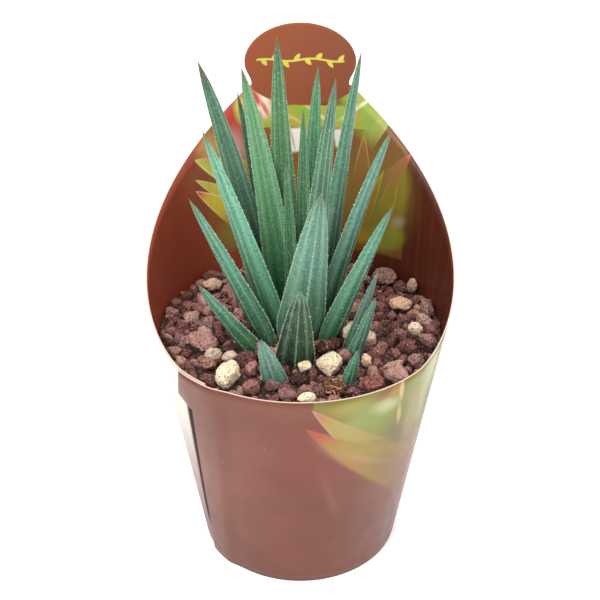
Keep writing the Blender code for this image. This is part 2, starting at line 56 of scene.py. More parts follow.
# The sleeve's cone and outline, in millimetres and degrees, as its CAD solid has them
BASE_RADIUS = 31.0
FLARE = 0.155
CARD = 0.4
FRONT_HEIGHT = 75.8
ARCH_START, ARCH_END, ARCH_HEIGHT, ARCH_POWER = 50.0, 160.0, 128.5, 1.4
NECK_HEIGHT, NECK_HALF_WIDTH = 130.0, 15.4
TAB_CENTRE_HEIGHT, TAB_HALF_WIDTH, TAB_HALF_HEIGHT, TAB_SPAN = 137.0, 17.5, 10.8, 118.0
SEAM_ANGLE, SEAM_SLANT = -50.0, -8.0
TONGUE_FOOT, TONGUE_TOP, TONGUE_REACH = 13.0, 63.0, 15.0
FLAP_REACH, WHITE_REACH, LAP_STEP = 4.6, 13.0, 0.78
TONGUE_DROP = 0.8                           # the tongue's top edge under the slit's
EAR_HEIGHT = TONGUE_TOP + 2.8
SLIT = (308.2, 313.5)
NEAR = 0.001                                # closer than this is the same
COLUMN_STEP, ROW_STEP = 1.25, 0.04          # degrees, and share of the rim's height
UNROLL = FLARE / math.hypot(1.0, FLARE)      # the cone's unrolled angle for each degree round it

# The gravel in the pot and over its rim
BED_FOOT, POT_RIM, BED_LEVEL, GRAVEL_TOP = 64.3, 71.6, 72.4, 73.2
POT_GAP, FIT = 3.1, 0.3                     # from the sleeve's outside to the bed in the pot, and over it


# ---------------------------------------------------------------- numbers and noise

def ease(value):
    """Smooth step: t*t*(3-2t) of the value held between 0 and 1."""
    value = np.clip(value, 0.0, 1.0)
    return value * value * (3.0 - 2.0 * value)


def lattice(cell, seed):
    """A repeatable number from 0 to 1 for every row of three whole numbers."""
    cell = cell.astype(np.uint64)
    mixed = cell[..., 0] * np.uint64(73856093) ^ cell[..., 1] * np.uint64(19349663)
    mixed = mixed ^ cell[..., 2] * np.uint64(83492791) ^ np.uint64(seed * 2654435761 % 2**32)
    mixed = (mixed ^ (mixed >> np.uint64(13))) * np.uint64(1274126177)
    mixed = mixed ^ (mixed >> np.uint64(16))
    return (mixed & np.uint64(65535)).astype(float) / 65535.0


def noise(points, scale, seed=0):
    """Smooth noise from -1 to 1: lattice numbers blended along each axis by the smooth step."""
    spot = points * scale + 1000.0
    cell = np.floor(spot).astype(np.int64)
    share = ease(spot - cell)
    total = 0.0
    for corner in itertools.product((0, 1), repeat=3):
        weight = np.where(np.array(corner) == 1, share, 1.0 - share).prod(-1)
        total = total + weight * lattice(cell + np.array(corner), seed)
    return total * 2.0 - 1.0


def layered(points, scale, layers=3, seed=0):
    """A sum of noises, each of twice the scale and half the strength of the one before."""
    return sum(noise(points, scale * 2 ** n, seed + n) * 0.5 ** n for n in range(layers))


def unit(vectors):
    """Vectors made one long."""
    return vectors / np.maximum(np.linalg.norm(vectors, axis=-1, keepdims=True), 1e-12)


def rgb(red, green, blue):
    """Linear colour, with alpha, of a screen colour from 0 to 255."""
    shares = np.array([red, green, blue], float) / 255.0
    linear = np.where(shares <= 0.04045, shares / 12.92, ((shares + 0.055) / 1.055) ** 2.4)
    return (*(float(share) for share in linear), 1.0)


# ---------------------------------------------------------------- meshes

def net(rows, columns, closed=False):
    """Quads of a net of points kept row by row. A closed net joins its last column to its first."""
    index = np.arange(rows * columns).reshape(rows, columns)
    following = np.roll(index, -1, axis=1)
    if not closed:
        index, following = index[:, :-1], following[:, :-1]
    return np.stack([index[:-1], following[:-1], following[1:], index[1:]], -1).reshape(-1, 4)


def fan(ring, apex, flip=False):
    """Triangles from a closed ring of points to one apex."""
    following = np.roll(ring, -1)
    sides = (following, ring) if flip else (ring, following)
    return np.stack([*sides, np.full(len(ring), apex)], -1)


def arrays(mesh):
    """Points and triangles of a triangulated mesh."""
    points = np.empty(len(mesh.vertices) * 3, np.float32)
    mesh.vertices.foreach_get("co", points)
    corners = np.empty(len(mesh.loops), np.int32)
    mesh.loops.foreach_get("vertex_index", corners)
    return points.reshape(-1, 3), corners.reshape(-1, 3)


def copies(faces, count, points):
    """The faces of a shape of so many points, for a row of such shapes."""
    return (faces[None] + np.arange(count)[:, None, None] * points).reshape(-1, faces.shape[1])


def ball(level):
    """Unit directions and triangles of an icosphere: 80 faces at level 2, four times more each level."""
    bm = bmesh.new()
    bmesh.ops.create_icosphere(bm, subdivisions=level, radius=1.0)
    mesh = bpy.data.meshes.new("ball")
    bm.to_mesh(mesh)
    bm.free()
    points, faces = arrays(mesh)
    bpy.data.meshes.remove(mesh)
    return unit(points.astype(float)), faces


def piece(name, points, faces, materials, values=None, colours=None, face_slots=None, smooth=True):
    """A mesh object at the origin. values and colours are point attributes by name."""
    mesh = bpy.data.meshes.new(name)
    if isinstance(faces, np.ndarray):
        faces = [faces]
    listed = [face for group in faces for face in np.asarray(group).tolist()]
    mesh.from_pydata(np.asarray(points, np.float32), [], listed)
    mesh.polygons.foreach_set("use_smooth", np.full(len(listed), smooth))
    for label, value in (values or {}).items():
        mesh.attributes.new(label, "FLOAT", "POINT").data.foreach_set("value", np.asarray(value, np.float32))
    for label, colour in (colours or {}).items():
        layer = mesh.attributes.new(label, "FLOAT_COLOR", "POINT")
        layer.data.foreach_set("color", np.asarray(colour, np.float32).ravel())
    for stuff in materials:
        mesh.materials.append(stuff)
    if face_slots is not None:
        mesh.polygons.foreach_set("material_index", np.asarray(face_slots, np.int32))
    mesh.update()
    made = bpy.data.objects.new(name, mesh)
    bpy.context.scene.collection.objects.link(made)
    return made


def place(made, node):
    """The piece rides on the root and stands for its CAD node, which is hidden."""
    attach(made, "root")
    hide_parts(node)


# ---------------------------------------------------------------- shader graphs

class Graph:
    """Adds nodes to a node tree and links them, one call for each node."""

    def __init__(self, tree):
        self.tree = tree

    def node(self, kind, inputs=None, **settings):
        made = self.tree.nodes.new("ShaderNode" + kind)
        for label, value in settings.items():
            setattr(made, label, value)
        for label, value in (inputs or {}).items():
            self.feed(made.inputs[label], value)
        return made

    def feed(self, socket, value):
        if isinstance(value, bpy.types.NodeSocket):
            self.tree.links.new(value, socket)
        elif value is not None:
            socket.default_value = value

    def maths(self, operation, *values, clamp=False):
        made = self.node("Math", operation=operation, use_clamp=clamp)
        for socket, value in zip(made.inputs, values):
            self.feed(socket, value)
        return made.outputs[0]

    def times(self, *values):
        """The product of the values."""
        return functools.reduce(lambda first, second: self.maths("MULTIPLY", first, second), values)

    def plus(self, first, second):
        return self.maths("ADD", first, second)

    def minus(self, first, second):
        return self.maths("SUBTRACT", first, second)

    def vector(self, operation, *values):
        made = self.node("VectorMath", operation=operation)
        for socket, value in zip(made.inputs, values):
            self.feed(socket, value)
        return made.outputs["Value" if operation in ("LENGTH", "DOT_PRODUCT", "DISTANCE") else "Vector"]

    def mix(self, share, first, second, blend="MIX"):
        made = self.node("Mix", data_type="RGBA", blend_type=blend)
        self.feed(made.inputs[0], share)
        self.feed(made.inputs[6], first)
        self.feed(made.inputs[7], second)
        return made.outputs[2]

    def layers(self, colour, tone, rows):
        """Over a colour, a row's value stepped from low to high shows the tone tinted by a share."""
        for value, low, high, most, share, tint in rows:
            tinted = self.mix(share, tone, rgb(*tint))
            colour = self.mix(self.step(value, low, high, 0.0, most), colour, tinted)
        return colour

    def step(self, value, low, high, start=0.0, end=1.0):
        """Smooth step of a value from low to high, onto start to end."""
        made = self.node("MapRange", interpolation_type="SMOOTHSTEP")
        for socket, number in zip(made.inputs, (value, low, high, start, end)):
            self.feed(socket, number)
        return made.outputs[0]

    def ramp(self, value, *stops):
        """A colour ramp through (place, colour) stops."""
        made = self.node("ValToRGB", {"Fac": value})
        points = made.color_ramp.elements
        for number, (spot, colour) in enumerate(stops):
            point = points[number] if number < 2 else points.new(spot)
            point.position = spot
            point.color = colour
        return made.outputs[0]

    def noise(self, vector, scale, detail=3.0, roughness=0.5, distortion=0.0):
        return self.node("TexNoise", {"Vector": vector, "Scale": scale, "Detail": detail,
                                      "Roughness": roughness, "Distortion": distortion}).outputs[0]

    def cells(self, vector, scale):
        return self.node("TexVoronoi", {"Vector": vector, "Scale": scale}).outputs["Distance"]

    def axes(self, vector):
        return self.node("SeparateXYZ", {"Vector": vector}).outputs

    def attribute(self, name, kind="Fac"):
        return self.node("Attribute", attribute_name=name).outputs[kind]

    def place(self):
        """Object coordinates in millimetres."""
        where = self.node("TexCoord").outputs["Object"]
        return self.vector("MULTIPLY", where, (1000.0, 1000.0, 1000.0))

    def group(self, group, **inputs):
        made = self.node("Group", node_tree=group)
        for label, value in inputs.items():
            self.feed(made.inputs[label.replace("_", " ")], value)
        return made.outputs


KINDS = {"value": "NodeSocketFloat", "vector": "NodeSocketVector", "colour": "NodeSocketColor"}


def new_group(name, inputs, outputs):
    """An empty shader node group and its graph, input sockets and output node."""
    tree = bpy.data.node_groups.new(name, "ShaderNodeTree")
    for label, kind, default in inputs:
        socket = tree.interface.new_socket(name=label, in_out="INPUT", socket_type=KINDS[kind])
        if default is not None:
            socket.default_value = default
    for label, kind in outputs:
        tree.interface.new_socket(name=label, in_out="OUTPUT", socket_type=KINDS[kind])
    graph = Graph(tree)
    given = tree.nodes.new("NodeGroupInput").outputs
    result = tree.nodes.new("NodeGroupOutput").inputs
    return tree, graph, given, result


def new_material(name, **plain):
    """A material with its graph and Principled shader. plain sets the shader's own sockets."""
    made = bpy.data.materials.new(name)
    made.use_nodes = True
    graph = Graph(made.node_tree)
    shader = made.node_tree.nodes["Principled BSDF"]
    for label, value in plain.items():
        shader.inputs[label.replace("_", " ")].default_value = value
    return made, graph, shader


def bump(graph, shader, height, distance):
    """Height times a distance in millimetres, as a Bump that feeds the shader's Normal."""
    made = graph.node("Bump", {"Height": height, "Distance": distance * MM})
    graph.feed(shader.inputs["Normal"], made.outputs[0])


def turned_back(g, given, centre):
    """The point from the shape's centre, with the shape's turn taken out."""
    made = g.node("VectorRotate", {"Vector": given["Point"], "Center": given[centre],
                                   "Angle": g.times(given["Turn"], -1.0)}, rotation_type="Z_AXIS")
    return g.vector("SUBTRACT", made.outputs[0], given[centre])


def shape_group(name, square):
    """Soft ellipse, or rectangle where square: 1 inside, 0 outside, with an edge of the given softness."""
    tree, g, given, result = new_group(
        name, [("Point", "vector", None), ("Centre", "vector", None), ("Size", "vector", (1, 1, 1)),
               ("Turn", "value", 0.0), ("Softness", "value", 0.5)], [("Mask", "value")])
    local = g.vector("DIVIDE", turned_back(g, given, "Centre"), given["Size"])
    if square:
        sides = g.axes(g.vector("ABSOLUTE", local))
        away = g.maths("MAXIMUM", sides[0], sides[1])
    else:
        away = g.vector("LENGTH", g.vector("MULTIPLY", local, (1.0, 1.0, 0.0)))
    low = g.minus(1.0, given["Softness"])
    high = g.plus(1.0, given["Softness"])
    g.feed(result["Mask"], g.step(away, low, high, 1.0, 0.0))
    return tree


def blade_group():
    """A printed leaf from its tip: half width grows as distance to the power 0.7; mask, rim and distance."""
    tree, g, given, result = new_group(
        "printed_blade",
        [("Point", "vector", None), ("Tip", "vector", None), ("Turn", "value", 0.0),
         ("Length", "value", 20.0), ("Half Width", "value", 5.0), ("Softness", "value", 0.05)],
        [("Mask", "value"), ("Rim", "value"), ("Along", "value")])
    local = g.axes(turned_back(g, given, "Tip"))
    along = g.maths("DIVIDE", local[0], given["Length"], clamp=True)
    width = g.maths("POWER", along, 0.7)
    side = g.minus(g.maths("DIVIDE", g.maths("ABSOLUTE", local[1]), given["Half Width"]), width)
    inside = g.step(side, 0.0, g.times(given["Softness"], -1.0))
    mask = g.times(inside, g.step(along, 0.42, 0.95, 1.0, 0.0))
    g.feed(result["Mask"], mask)
    g.feed(result["Rim"], g.times(g.step(side, -0.16, -0.04), g.step(along, 0.62, 0.25), mask))
    g.feed(result["Along"], along)
    return tree


def fleck_group():
    """Fine uneven flecks and a slow drift, both from 0 to 1, from places in millimetres."""
    tree, g, given, result = new_group(
        "flecks",
        [("Point", "vector", None), ("Scale", "value", 2.0)],
        [("Flecks", "value"), ("Drift", "value")])
    fine = g.noise(given["Point"], given["Scale"], 4.0, 0.7, 0.4)
    slow = g.noise(given["Point"], g.times(given["Scale"], 0.12), 2.0, 0.5)
    g.feed(result["Flecks"], g.step(fine, 0.35, 0.68))
    g.feed(result["Drift"], g.step(slow, 0.3, 0.7))
    return tree


def pores_group():
    """Rock pores: a mask of round pits of two sizes, used for painted shade in them, and the height they
    leave, from places in millimetres.
    """
    tree, g, given, result = new_group(
        "rock_pores",
        [("Point", "vector", None), ("Scale", "value", 1.0), ("Amount", "value", 0.3)],
        [("Pits", "value"), ("Height", "value")])
    bent = g.node("TexNoise", {"Vector": given["Point"], "Scale": given["Scale"], "Detail": 2.0})
    shifted = g.vector("ADD", given["Point"], g.vector("MULTIPLY", bent.outputs["Color"], (0.5, 0.5, 0.5)))
    large = g.cells(shifted, given["Scale"])
    small = g.cells(shifted, g.times(given["Scale"], 2.7))
    pit_large = g.step(large, given["Amount"], g.times(given["Amount"], 0.45))
    pit_small = g.step(small, given["Amount"], g.times(given["Amount"], 0.45))
    grain = g.noise(given["Point"], g.times(given["Scale"], 3.0), 5.0, 0.7)
    pits = g.maths("MAXIMUM", pit_large, g.times(pit_small, 0.7))
    height = g.minus(g.times(grain, 0.6), pits)
    g.feed(result["Pits"], pits)
    g.feed(result["Height"], height)
    return tree


SPOT, WINDOW = shape_group("soft_spot", False), shape_group("soft_window", True)
BLADE, FLECKS, PORES = blade_group(), fleck_group(), pores_group()


# ---------------------------------------------------------------- the printed card

def printed(g, point, ground, shapes):
    """Lays shapes over a ground colour, in order, in unrolled millimetres: the print's shapes, and on the
    front also its painted highlights.

    ("spot" or "window", x, y, half x, half y, turn, softness, strength, colour), or
    ("blade", x, y, turn, length, half width, softness, rim colour, tip colour, body colour).
    """
    for shape in shapes:
        kind, x, y = shape[:3]
        if kind == "blade":
            turn, length, half, soft = shape[3:7]
            rim, tip, body = (rgb(*tone) for tone in shape[7:])
            found = g.group(BLADE, Point=point, Tip=(x, y, 0.0), Turn=math.radians(turn), Length=length,
                            Half_Width=half, Softness=soft)
            inner = g.ramp(found["Along"], (0.0, tip), (0.09, tip), (0.24, body))
            drawn = g.mix(found["Rim"], inner, rim)
            ground = g.mix(found["Mask"], ground, drawn)
        else:
            half_x, half_y, turn, soft, strength, colour = shape[3:]
            group = SPOT if kind == "spot" else WINDOW
            mask = g.group(group, Point=point, Centre=(x, y, 0.0), Size=(half_x, half_y, 1.0),
                           Turn=math.radians(turn), Softness=soft)["Mask"]
            ground = g.mix(g.times(mask, strength), ground, rgb(*colour))
    return ground


def card_point(g, layer):
    """Unrolled place on the card in millimetres, from a UV map in metres."""
    where = g.node("UVMap", uv_map=layer).outputs[0]
    return g.vector("MULTIPLY", where, (1000.0, 1000.0, 0.0))


def card_finish(g, shader, point, colour, matt=0.0):
    """Slight print grain, worn specks and a faint waviness of the card; it is dull where matt is 1."""
    grain = g.noise(point, 3.0, 3.0, 0.6)
    colour = g.mix(g.step(grain, 0.2, 0.8, 0.0, 0.10), colour, rgb(60, 30, 22))
    speck = g.step(g.cells(point, 0.16), 0.030, 0.018, 0.0, 0.55)
    colour = g.mix(speck, colour, rgb(215, 170, 150))
    g.feed(shader.inputs["Base Color"], colour)
    rough = g.noise(point, 0.25, 3.0, 0.6)
    g.feed(shader.inputs["Roughness"], g.maths("ADD", g.step(rough, 0.2, 0.8, 0.34, 0.46), matt, clamp=True))
    wave = g.noise(point, 0.06, 2.0, 0.5)
    bump(g, shader, g.plus(wave, g.times(grain, 0.012)), 0.5)


INK = (0.49, 0.37, 0.30, 1.0)      # how much light the outside inks give back
BROWN = rgb(158, 98, 84)
BROWN_DEEP = rgb(140, 84, 66)
FRONT_GREENS = (
    ("spot", 9, 71, 5, 4, 0, 0.8, 0.9, (150, 140, 48)),
    ("spot", 15, 72.5, 6, 2.4, 0, 0.8, 0.9, (186, 184, 104)),
    ("spot", 20, 66, 8, 8, -20, 0.7, 0.9, (150, 182, 88)),
    ("spot", 14, 63, 3.0, 9, -28, 0.8, 0.8, (164, 184, 128)),
    ("spot", 25, 69, 4, 2.4, -12, 0.9, 0.9, (214, 230, 196)),
    ("spot", 24, 73.6, 4, 1.7, 4, 0.7, 0.9, (168, 118, 92)),
    ("spot", 28, 72.6, 2.2, 2.6, 0, 0.6, 0.9, (184, 158, 72)),
    ("spot", 37, 69, 4, 7, -4, 0.8, 0.9, (160, 176, 84)),
    ("spot", 30, 52, 6, 8, 10, 0.9, 0.8, (126, 114, 70)),
    ("spot", 42, 66, 3.2, 12, -8, 0.8, 0.9, (190, 208, 160)),
    ("spot", 45.5, 70, 3, 6, 0, 0.9, 0.9, (210, 228, 204)),
    ("spot", 36, 58, 3, 10, -6, 0.9, 0.7, (180, 178, 128)),
    ("spot", 29.9, 72.0, 0.8, 3.4, 2, 0.5, 0.9, (240, 228, 188)),
    ("spot", 29.8, 62.6, 0.8, 3.6, 2, 0.6, 0.8, (222, 212, 158)),
    ("spot", 20, 57, 9, 3, -38, 0.9, 0.6, (168, 160, 104)),
)
FRONT_BLADES = (
    ("blade", 2.6, 74.4, -50, 38, 6.6, 0.12, (255, 236, 216), (238, 160, 132), (210, 216, 116)),
    ("spot", 14, 62.5, 6.5, 1.6, -50, 0.9, 0.6, (222, 214, 150)),
    ("blade", 0.5, 67.6, -42, 60, 11.6, 0.20, (255, 226, 204), (240, 96, 78), (196, 190, 88)),
    ("spot", 13, 54.6, 9.0, 2.6, -42, 0.9, 0.55, (214, 196, 130)),
    ("spot", 22, 48.0, 9.0, 1.0, -36, 0.8, 0.55, (228, 210, 160)),
    ("spot", 15, 50.0, 9.0, 1.4, -46, 0.9, 0.4, (222, 160, 104)),
    ("spot", 27, 44.0, 8.0, 5.0, -30, 1.0, 0.5, (150, 118, 78)),
)
# Painted highlights: pale sheen bands and spots of light on the glossy card, laid over the brown field like
# print.
FRONT_PAINTED_HIGHLIGHTS = (
    ("spot", 44, 30, 5, 26, -6, 0.9, 0.5, (214, 188, 170)),
    ("spot", 8, 40, 1.2, 10, 14, 0.8, 0.35, (190, 130, 118)),
    ("spot", -16, 40, 5, 34, -4, 1.0, 0.12, (180, 116, 98)),
    ("spot", 4, 56, 9, 12, 0, 1.0, 0.45, (164, 84, 74)),
    ("spot", 24, 22, 14, 12, 0, 1.0, 0.30, (150, 108, 80)),
    ("spot", 4, 74, 12, 3.6, 0, 0.9, 0.35, (166, 126, 102)),
)


def card_outside():
    """Outside print: terracotta field with painted highlights, white lap on the left, blurred leaves on the
    right of the front, and the tongue painted dark as the slit's shadow.
    """
    made, g, shader = new_material("card_outside", Coat_Weight=0.06, Coat_Roughness=0.3, IOR=1.40)
    point = card_point(g, "front")
    x, y, _ = g.axes(point)
    drift = g.noise(point, 0.04, 2.0, 0.5)
    field = g.mix(g.step(drift, 0.3, 0.7), BROWN, BROWN_DEEP)
    # The painted highlights go onto the brown field.
    field = printed(g, point, field, FRONT_PAINTED_HIGHLIGHTS)
    leafy = printed(g, point, g.mix(drift, rgb(150, 146, 62), rgb(132, 150, 76)), FRONT_GREENS)
    leafy = g.mix(1.0, leafy, (1.34, 1.45, 1.32, 1.0), "MULTIPLY")
    # The leafy print starts at an upright edge, ends on a slope, and fades out below and round the side.
    slope = g.maths("MULTIPLY_ADD", x, -0.92, 75.0)
    shown = g.times(g.step(x, 3.2, 3.6), g.step(g.minus(y, slope), -1.0, 3.0), g.step(y, 30.0, 58.0),
                    g.step(x, 50.0, 74.0, 1.0, 0.0))
    colour = g.mix(shown, field, leafy)
    colour = printed(g, point, colour, FRONT_BLADES)
    colour = g.mix(1.0, colour, INK, "MULTIPLY")
    # Painted shadow: the tongue, seen in the slit, is painted near-black as the shade of the recess, fading
    # out towards its foot; the white lap is the strip's last stretch, and browner at its foot.
    turn = g.attribute("turn")
    height = g.axes(g.place())[2]
    tongue = g.times(g.step(turn, SEAM_ANGLE + 3.7, SEAM_ANGLE + 3.2), g.step(turn, 200.0, 190.0),
                     g.step(height, TONGUE_TOP + 0.5, TONGUE_TOP), g.step(height, 11.0, 22.0))
    colour = g.mix(tongue, colour, rgb(32, 15, 13))
    white = g.mix(g.step(height, 4.0, 36.0), rgb(92, 62, 56), rgb(142, 118, 108))
    white = g.mix(g.step(height, 26.0, 66.0), white, rgb(208, 202, 190))
    colour = g.mix(g.step(turn, 263.0, 264.0), colour, white)
    card_finish(g, shader, point, colour, tongue)
    return made


INNER_SHAPES = (
    ("window", 2.4, 100, 33.8, 22, 0, 0.01, 0.75, (132, 92, 38)),
    ("window", -25, 98, 12, 13, 24, 0.03, 0.60, (140, 84, 46)),
    ("spot", 3, 92, 9, 10, 0, 0.9, 0.6, (150, 120, 70)),
    ("spot", 24, 96, 13, 12, 30, 0.7, 0.8, (132, 122, 48)),
    ("spot", 34.5, 101, 3.2, 8, 0, 0.6, 0.7, (140, 134, 44)),
    ("spot", 29, 84, 7.4, 4.4, 14, 0.4, 0.9, (140, 146, 52)),
    ("spot", 33.8, 89.8, 2.6, 1.6, 20, 0.9, 0.5, (184, 178, 142)),
    ("spot", 20, 83.5, 2.6, 2.8, 0, 0.4, 0.9, (196, 146, 48)),
    ("blade", 33.5, 108.4, -106, 30, 5.2, 0.10, (196, 182, 70), (206, 88, 48), (136, 130, 38)),
    ("blade", 38.0, 112.6, -128, 22, 5.0, 0.10, (176, 120, 74), (190, 74, 46), (150, 112, 56)),
    ("blade", 20.7, 116.4, -92, 26, 5.0, 0.06, (188, 148, 70), (150, 106, 48), (142, 100, 44)),
    ("blade", 28.0, 106.0, -112, 34, 4.0, 0.10, (206, 184, 66), (156, 140, 44), (144, 120, 36)),
    ("blade", -36.0, 110.0, -24, 24, 7.0, 0.08, (240, 236, 160), (206, 212, 84), (190, 202, 86)),
    ("blade", -36.2, 103.8, -30, 20, 3.6, 0.10, (252, 232, 206), (206, 196, 84), (200, 192, 74)),
    ("blade", -36.4, 100.4, -34, 24, 5.4, 0.10, (255, 228, 208), (224, 84, 56), (210, 194, 62)),
    ("spot", -24.0, 84, 3.4, 4.0, 0, 0.8, 0.7, (132, 128, 62)),
    ("spot", -23.0, 119.0, 4.2, 5.0, 20, 0.5, 0.9, (186, 62, 52)),
    ("spot", -22.0, 112.0, 3.6, 5.0, 10, 0.8, 0.9, (204, 150, 140)),
    ("spot", -30.0, 112.4, 4.6, 3.6, 30, 0.6, 0.9, (196, 150, 84)),
    ("window", 5.5, 121.0, 21.5, 3.4, 0, 0.04, 1.0, (170, 172, 62)),
    ("window", -1.0, 113.4, 3.2, 3.8, 4, 0.16, 0.95, (244, 238, 228)),
    ("window", 12.6, 114.4, 1.6, 2.8, 8, 0.2, 0.9, (238, 232, 218)),
    ("spot", 0.4, 112.6, 0.5, 4.4, -8, 0.6, 0.8, (170, 120, 80)),
    ("spot", -2.4, 113.4, 0.35, 3.6, 12, 0.6, 0.7, (186, 130, 100)),
    ("spot", 2.0, 121.6, 5.4, 1.5, -32, 0.5, 0.9, (132, 178, 64)),
    ("spot", 12.6, 122.0, 3.0, 2.6, 10, 0.7, 0.8, (146, 176, 84)),
    ("spot", 6.0, 121.4, 5.0, 0.5, -34, 0.6, 0.8, (226, 226, 170)),
    ("spot", -3.4, 121.0, 4.0, 0.5, -30, 0.6, 0.7, (222, 196, 140)),
    ("blade", 26.4, 127.4, -118, 17, 4.6, 0.12, (222, 224, 168), (186, 184, 78), (140, 170, 70)),
    ("blade", 31.0, 124.0, -134, 17, 4.0, 0.12, (226, 210, 150), (190, 130, 70), (160, 172, 76)),
    ("spot", -12.4, 125.6, 3.2, 4.6, 18, 0.5, 1.0, (246, 226, 206)),
    ("spot", -14.2, 127.2, 1.1, 3.0, 30, 0.6, 0.95, (212, 70, 62)),
    ("spot", -11.2, 123.6, 0.7, 2.4, 26, 0.6, 0.9, (214, 92, 78)),
    ("spot", -12.6, 121.4, 0.5, 1.6, 10, 0.7, 0.8, (206, 120, 96)),
    ("spot", 20.0, 126.2, 8.0, 4.4, -20, 0.4, 1.0, (150, 172, 72)),
    ("spot", 18.0, 124.0, 0.6, 6.0, -54, 0.5, 0.9, (228, 232, 178)),
    ("spot", -18.6, 123.4, 2.4, 4.0, 10, 0.5, 1.0, (196, 186, 84)),
)


def card_inside():
    """Inside print: dark red-brown sides with painted shade darkening them towards the right, a leafy panel
    behind the plant and the plain oval tab, painted a little darker on its right as shade.
    """
    made, g, shader = new_material("card_inside", Coat_Weight=0.07, Coat_Roughness=0.3, IOR=1.40)
    point = card_point(g, "back")
    x, y, _ = g.axes(point)
    drift = g.noise(point, 0.05, 2.0, 0.5)
    field = g.mix(drift, rgb(150, 68, 46), rgb(138, 62, 42))
    # Painted shade: the inside wall is painted darker towards its right, where it lies in shadow.
    field = g.mix(g.step(x, -20.0, 36.0), field, rgb(80, 34, 20))
    field = printed(g, point, field, INNER_SHAPES)
    streak = g.noise(g.vector("MULTIPLY", point, (0.9, 0.05, 0.0)), 0.5, 2.0, 0.5)
    field = g.mix(g.step(streak, 0.45, 0.75, 0.0, 0.14), field, rgb(190, 90, 60))
    # The plain oval of the tab, and its ornament: a drawn sprig in pale green-gold.
    oval = g.group(SPOT, Point=point, Centre=(1.0, 138.6, 0.0), Size=(20.6, 14.2, 1.0), Softness=0.012)
    # Painted shade: the tab is painted a little darker towards its right as well.
    tab = g.mix(g.step(x, -16.0, 18.0), rgb(152, 79, 45), rgb(132, 71, 44))
    colour = g.mix(oval["Mask"], field, tab)
    card_finish(g, shader, point, g.mix(sprig_mask(g, x, y), colour, rgb(212, 204, 84)))
    return made


def sprig_mask(g, x, y):
    """A drawn sprig: a wavy stalk with a small pointed leaf on alternate sides every 3.4 mm."""
    x = g.times(x, 0.7)
    y = g.maths("MULTIPLY_ADD", y, 0.62, 52.6)
    wave = g.times(g.maths("SINE", g.times(x, 0.6)), 0.24)
    rise = g.minus(y, g.plus(wave, 138.4))
    stalk = g.step(g.maths("ABSOLUTE", rise), 0.24, 0.14)
    part = g.maths("DIVIDE", x, 2.4)
    number = g.maths("FLOOR", part)
    local = g.times(g.minus(g.minus(part, number), 0.5), 2.4)
    parity = g.minus(g.times(g.maths("PINGPONG", number, 1.0), 2.0), 1.0)
    up = g.times(rise, parity)
    # Leaf axis leans 45 degrees: position along it and across it.
    along = g.times(g.plus(local, up), 0.7071)
    across = g.maths("ABSOLUTE", g.times(g.minus(up, local), 0.7071))
    along = g.maths("DIVIDE", g.minus(along, -0.55), 2.3)
    width = g.times(along, g.minus(1.0, along), 2.1)
    leaf = g.times(g.step(g.minus(across, width), 0.02, -0.10), g.step(up, -0.05, 0.15))
    span = g.step(g.maths("ABSOLUTE", x), 9.7, 9.5)
    near = g.step(g.maths("ABSOLUTE", rise), 2.6, 2.4)
    return g.times(g.maths("MAXIMUM", stalk, leaf), span, near)


def card_edge():
    """Bare cut edge of the card: pale fibres with a faint tint."""
    made, g, shader = new_material("card_edge", Roughness=0.7, IOR=1.45)
    point = g.place()
    grain = g.noise(point, 4.0, 3.0, 0.6)
    g.feed(shader.inputs["Base Color"], g.mix(grain, rgb(228, 204, 190), rgb(206, 172, 154)))
    bump(g, shader, grain, 0.03)
    return made


def cone(height):
    """The sleeve's outer radius at a height."""
    return BASE_RADIUS + FLARE * height


def rim_height(angle):
    """Rim of the sleeve: level in front, then climbing as a power of the turn up to the neck."""
    share = np.maximum(0.0, (np.abs(angle) - ARCH_START) / (ARCH_END - ARCH_START))
    return np.minimum(NECK_HEIGHT, FRONT_HEIGHT + (ARCH_HEIGHT - FRONT_HEIGHT) * share ** ARCH_POWER)


def lap_offset(angle, height):
    """Radial step of the strip: out over the seam, in behind it, level elsewhere."""
    outside = LAP_STEP * (1.0 - ease((angle + 35.0) / 9.0))
    inside = np.where(height > TONGUE_TOP + 0.1, 0.0, ease((SEAM_ANGLE + 1.4 - angle) / 4.4))
    return np.where(angle > 180.0, 0.0, outside - 2.0 * LAP_STEP * inside)


def seam_shift(angle, height):
    """Slant of the seam: full beside it and fading out forty degrees away."""
    near = np.minimum(np.abs(angle - SEAM_ANGLE), np.abs(angle - 360.0 - SEAM_ANGLE))
    drop = (TONGUE_TOP - np.minimum(height, TONGUE_TOP)) / (TONGUE_TOP - TONGUE_FOOT)
    return SEAM_SLANT * drop * ease(1.0 - (near - 16.0) / 30.0)


def around(angle, radius, height):
    """Points from a turn from the front in degrees, a radius and a height in millimetres."""
    turn = np.radians(angle)
    radius = radius - 0.05
    return np.stack([radius * np.sin(turn), -radius * np.cos(turn), height + 0.0 * turn], -1) * MM


def unrolled(angle, height, centre):
    """Place on the flat card, in metres: the cone's slant radius turned by the unrolled angle."""
    slant = cone(height) / UNROLL
    turn = np.radians((angle - centre) * UNROLL)
    return np.stack([slant * np.sin(turn), slant * np.cos(turn) - BASE_RADIUS / UNROLL], -1) * MM


def spaced(edges, step):
    """Numbers that pass through every edge with at most the given step between them."""
    counts = [max(1, math.ceil((end - start) / step)) for start, end in zip(edges, edges[1:])]
    runs = [np.linspace(*pair, count + 1)[:-1] for *pair, count in zip(edges, edges[1:], counts)]
    return np.concatenate([*runs, edges[-1:]])


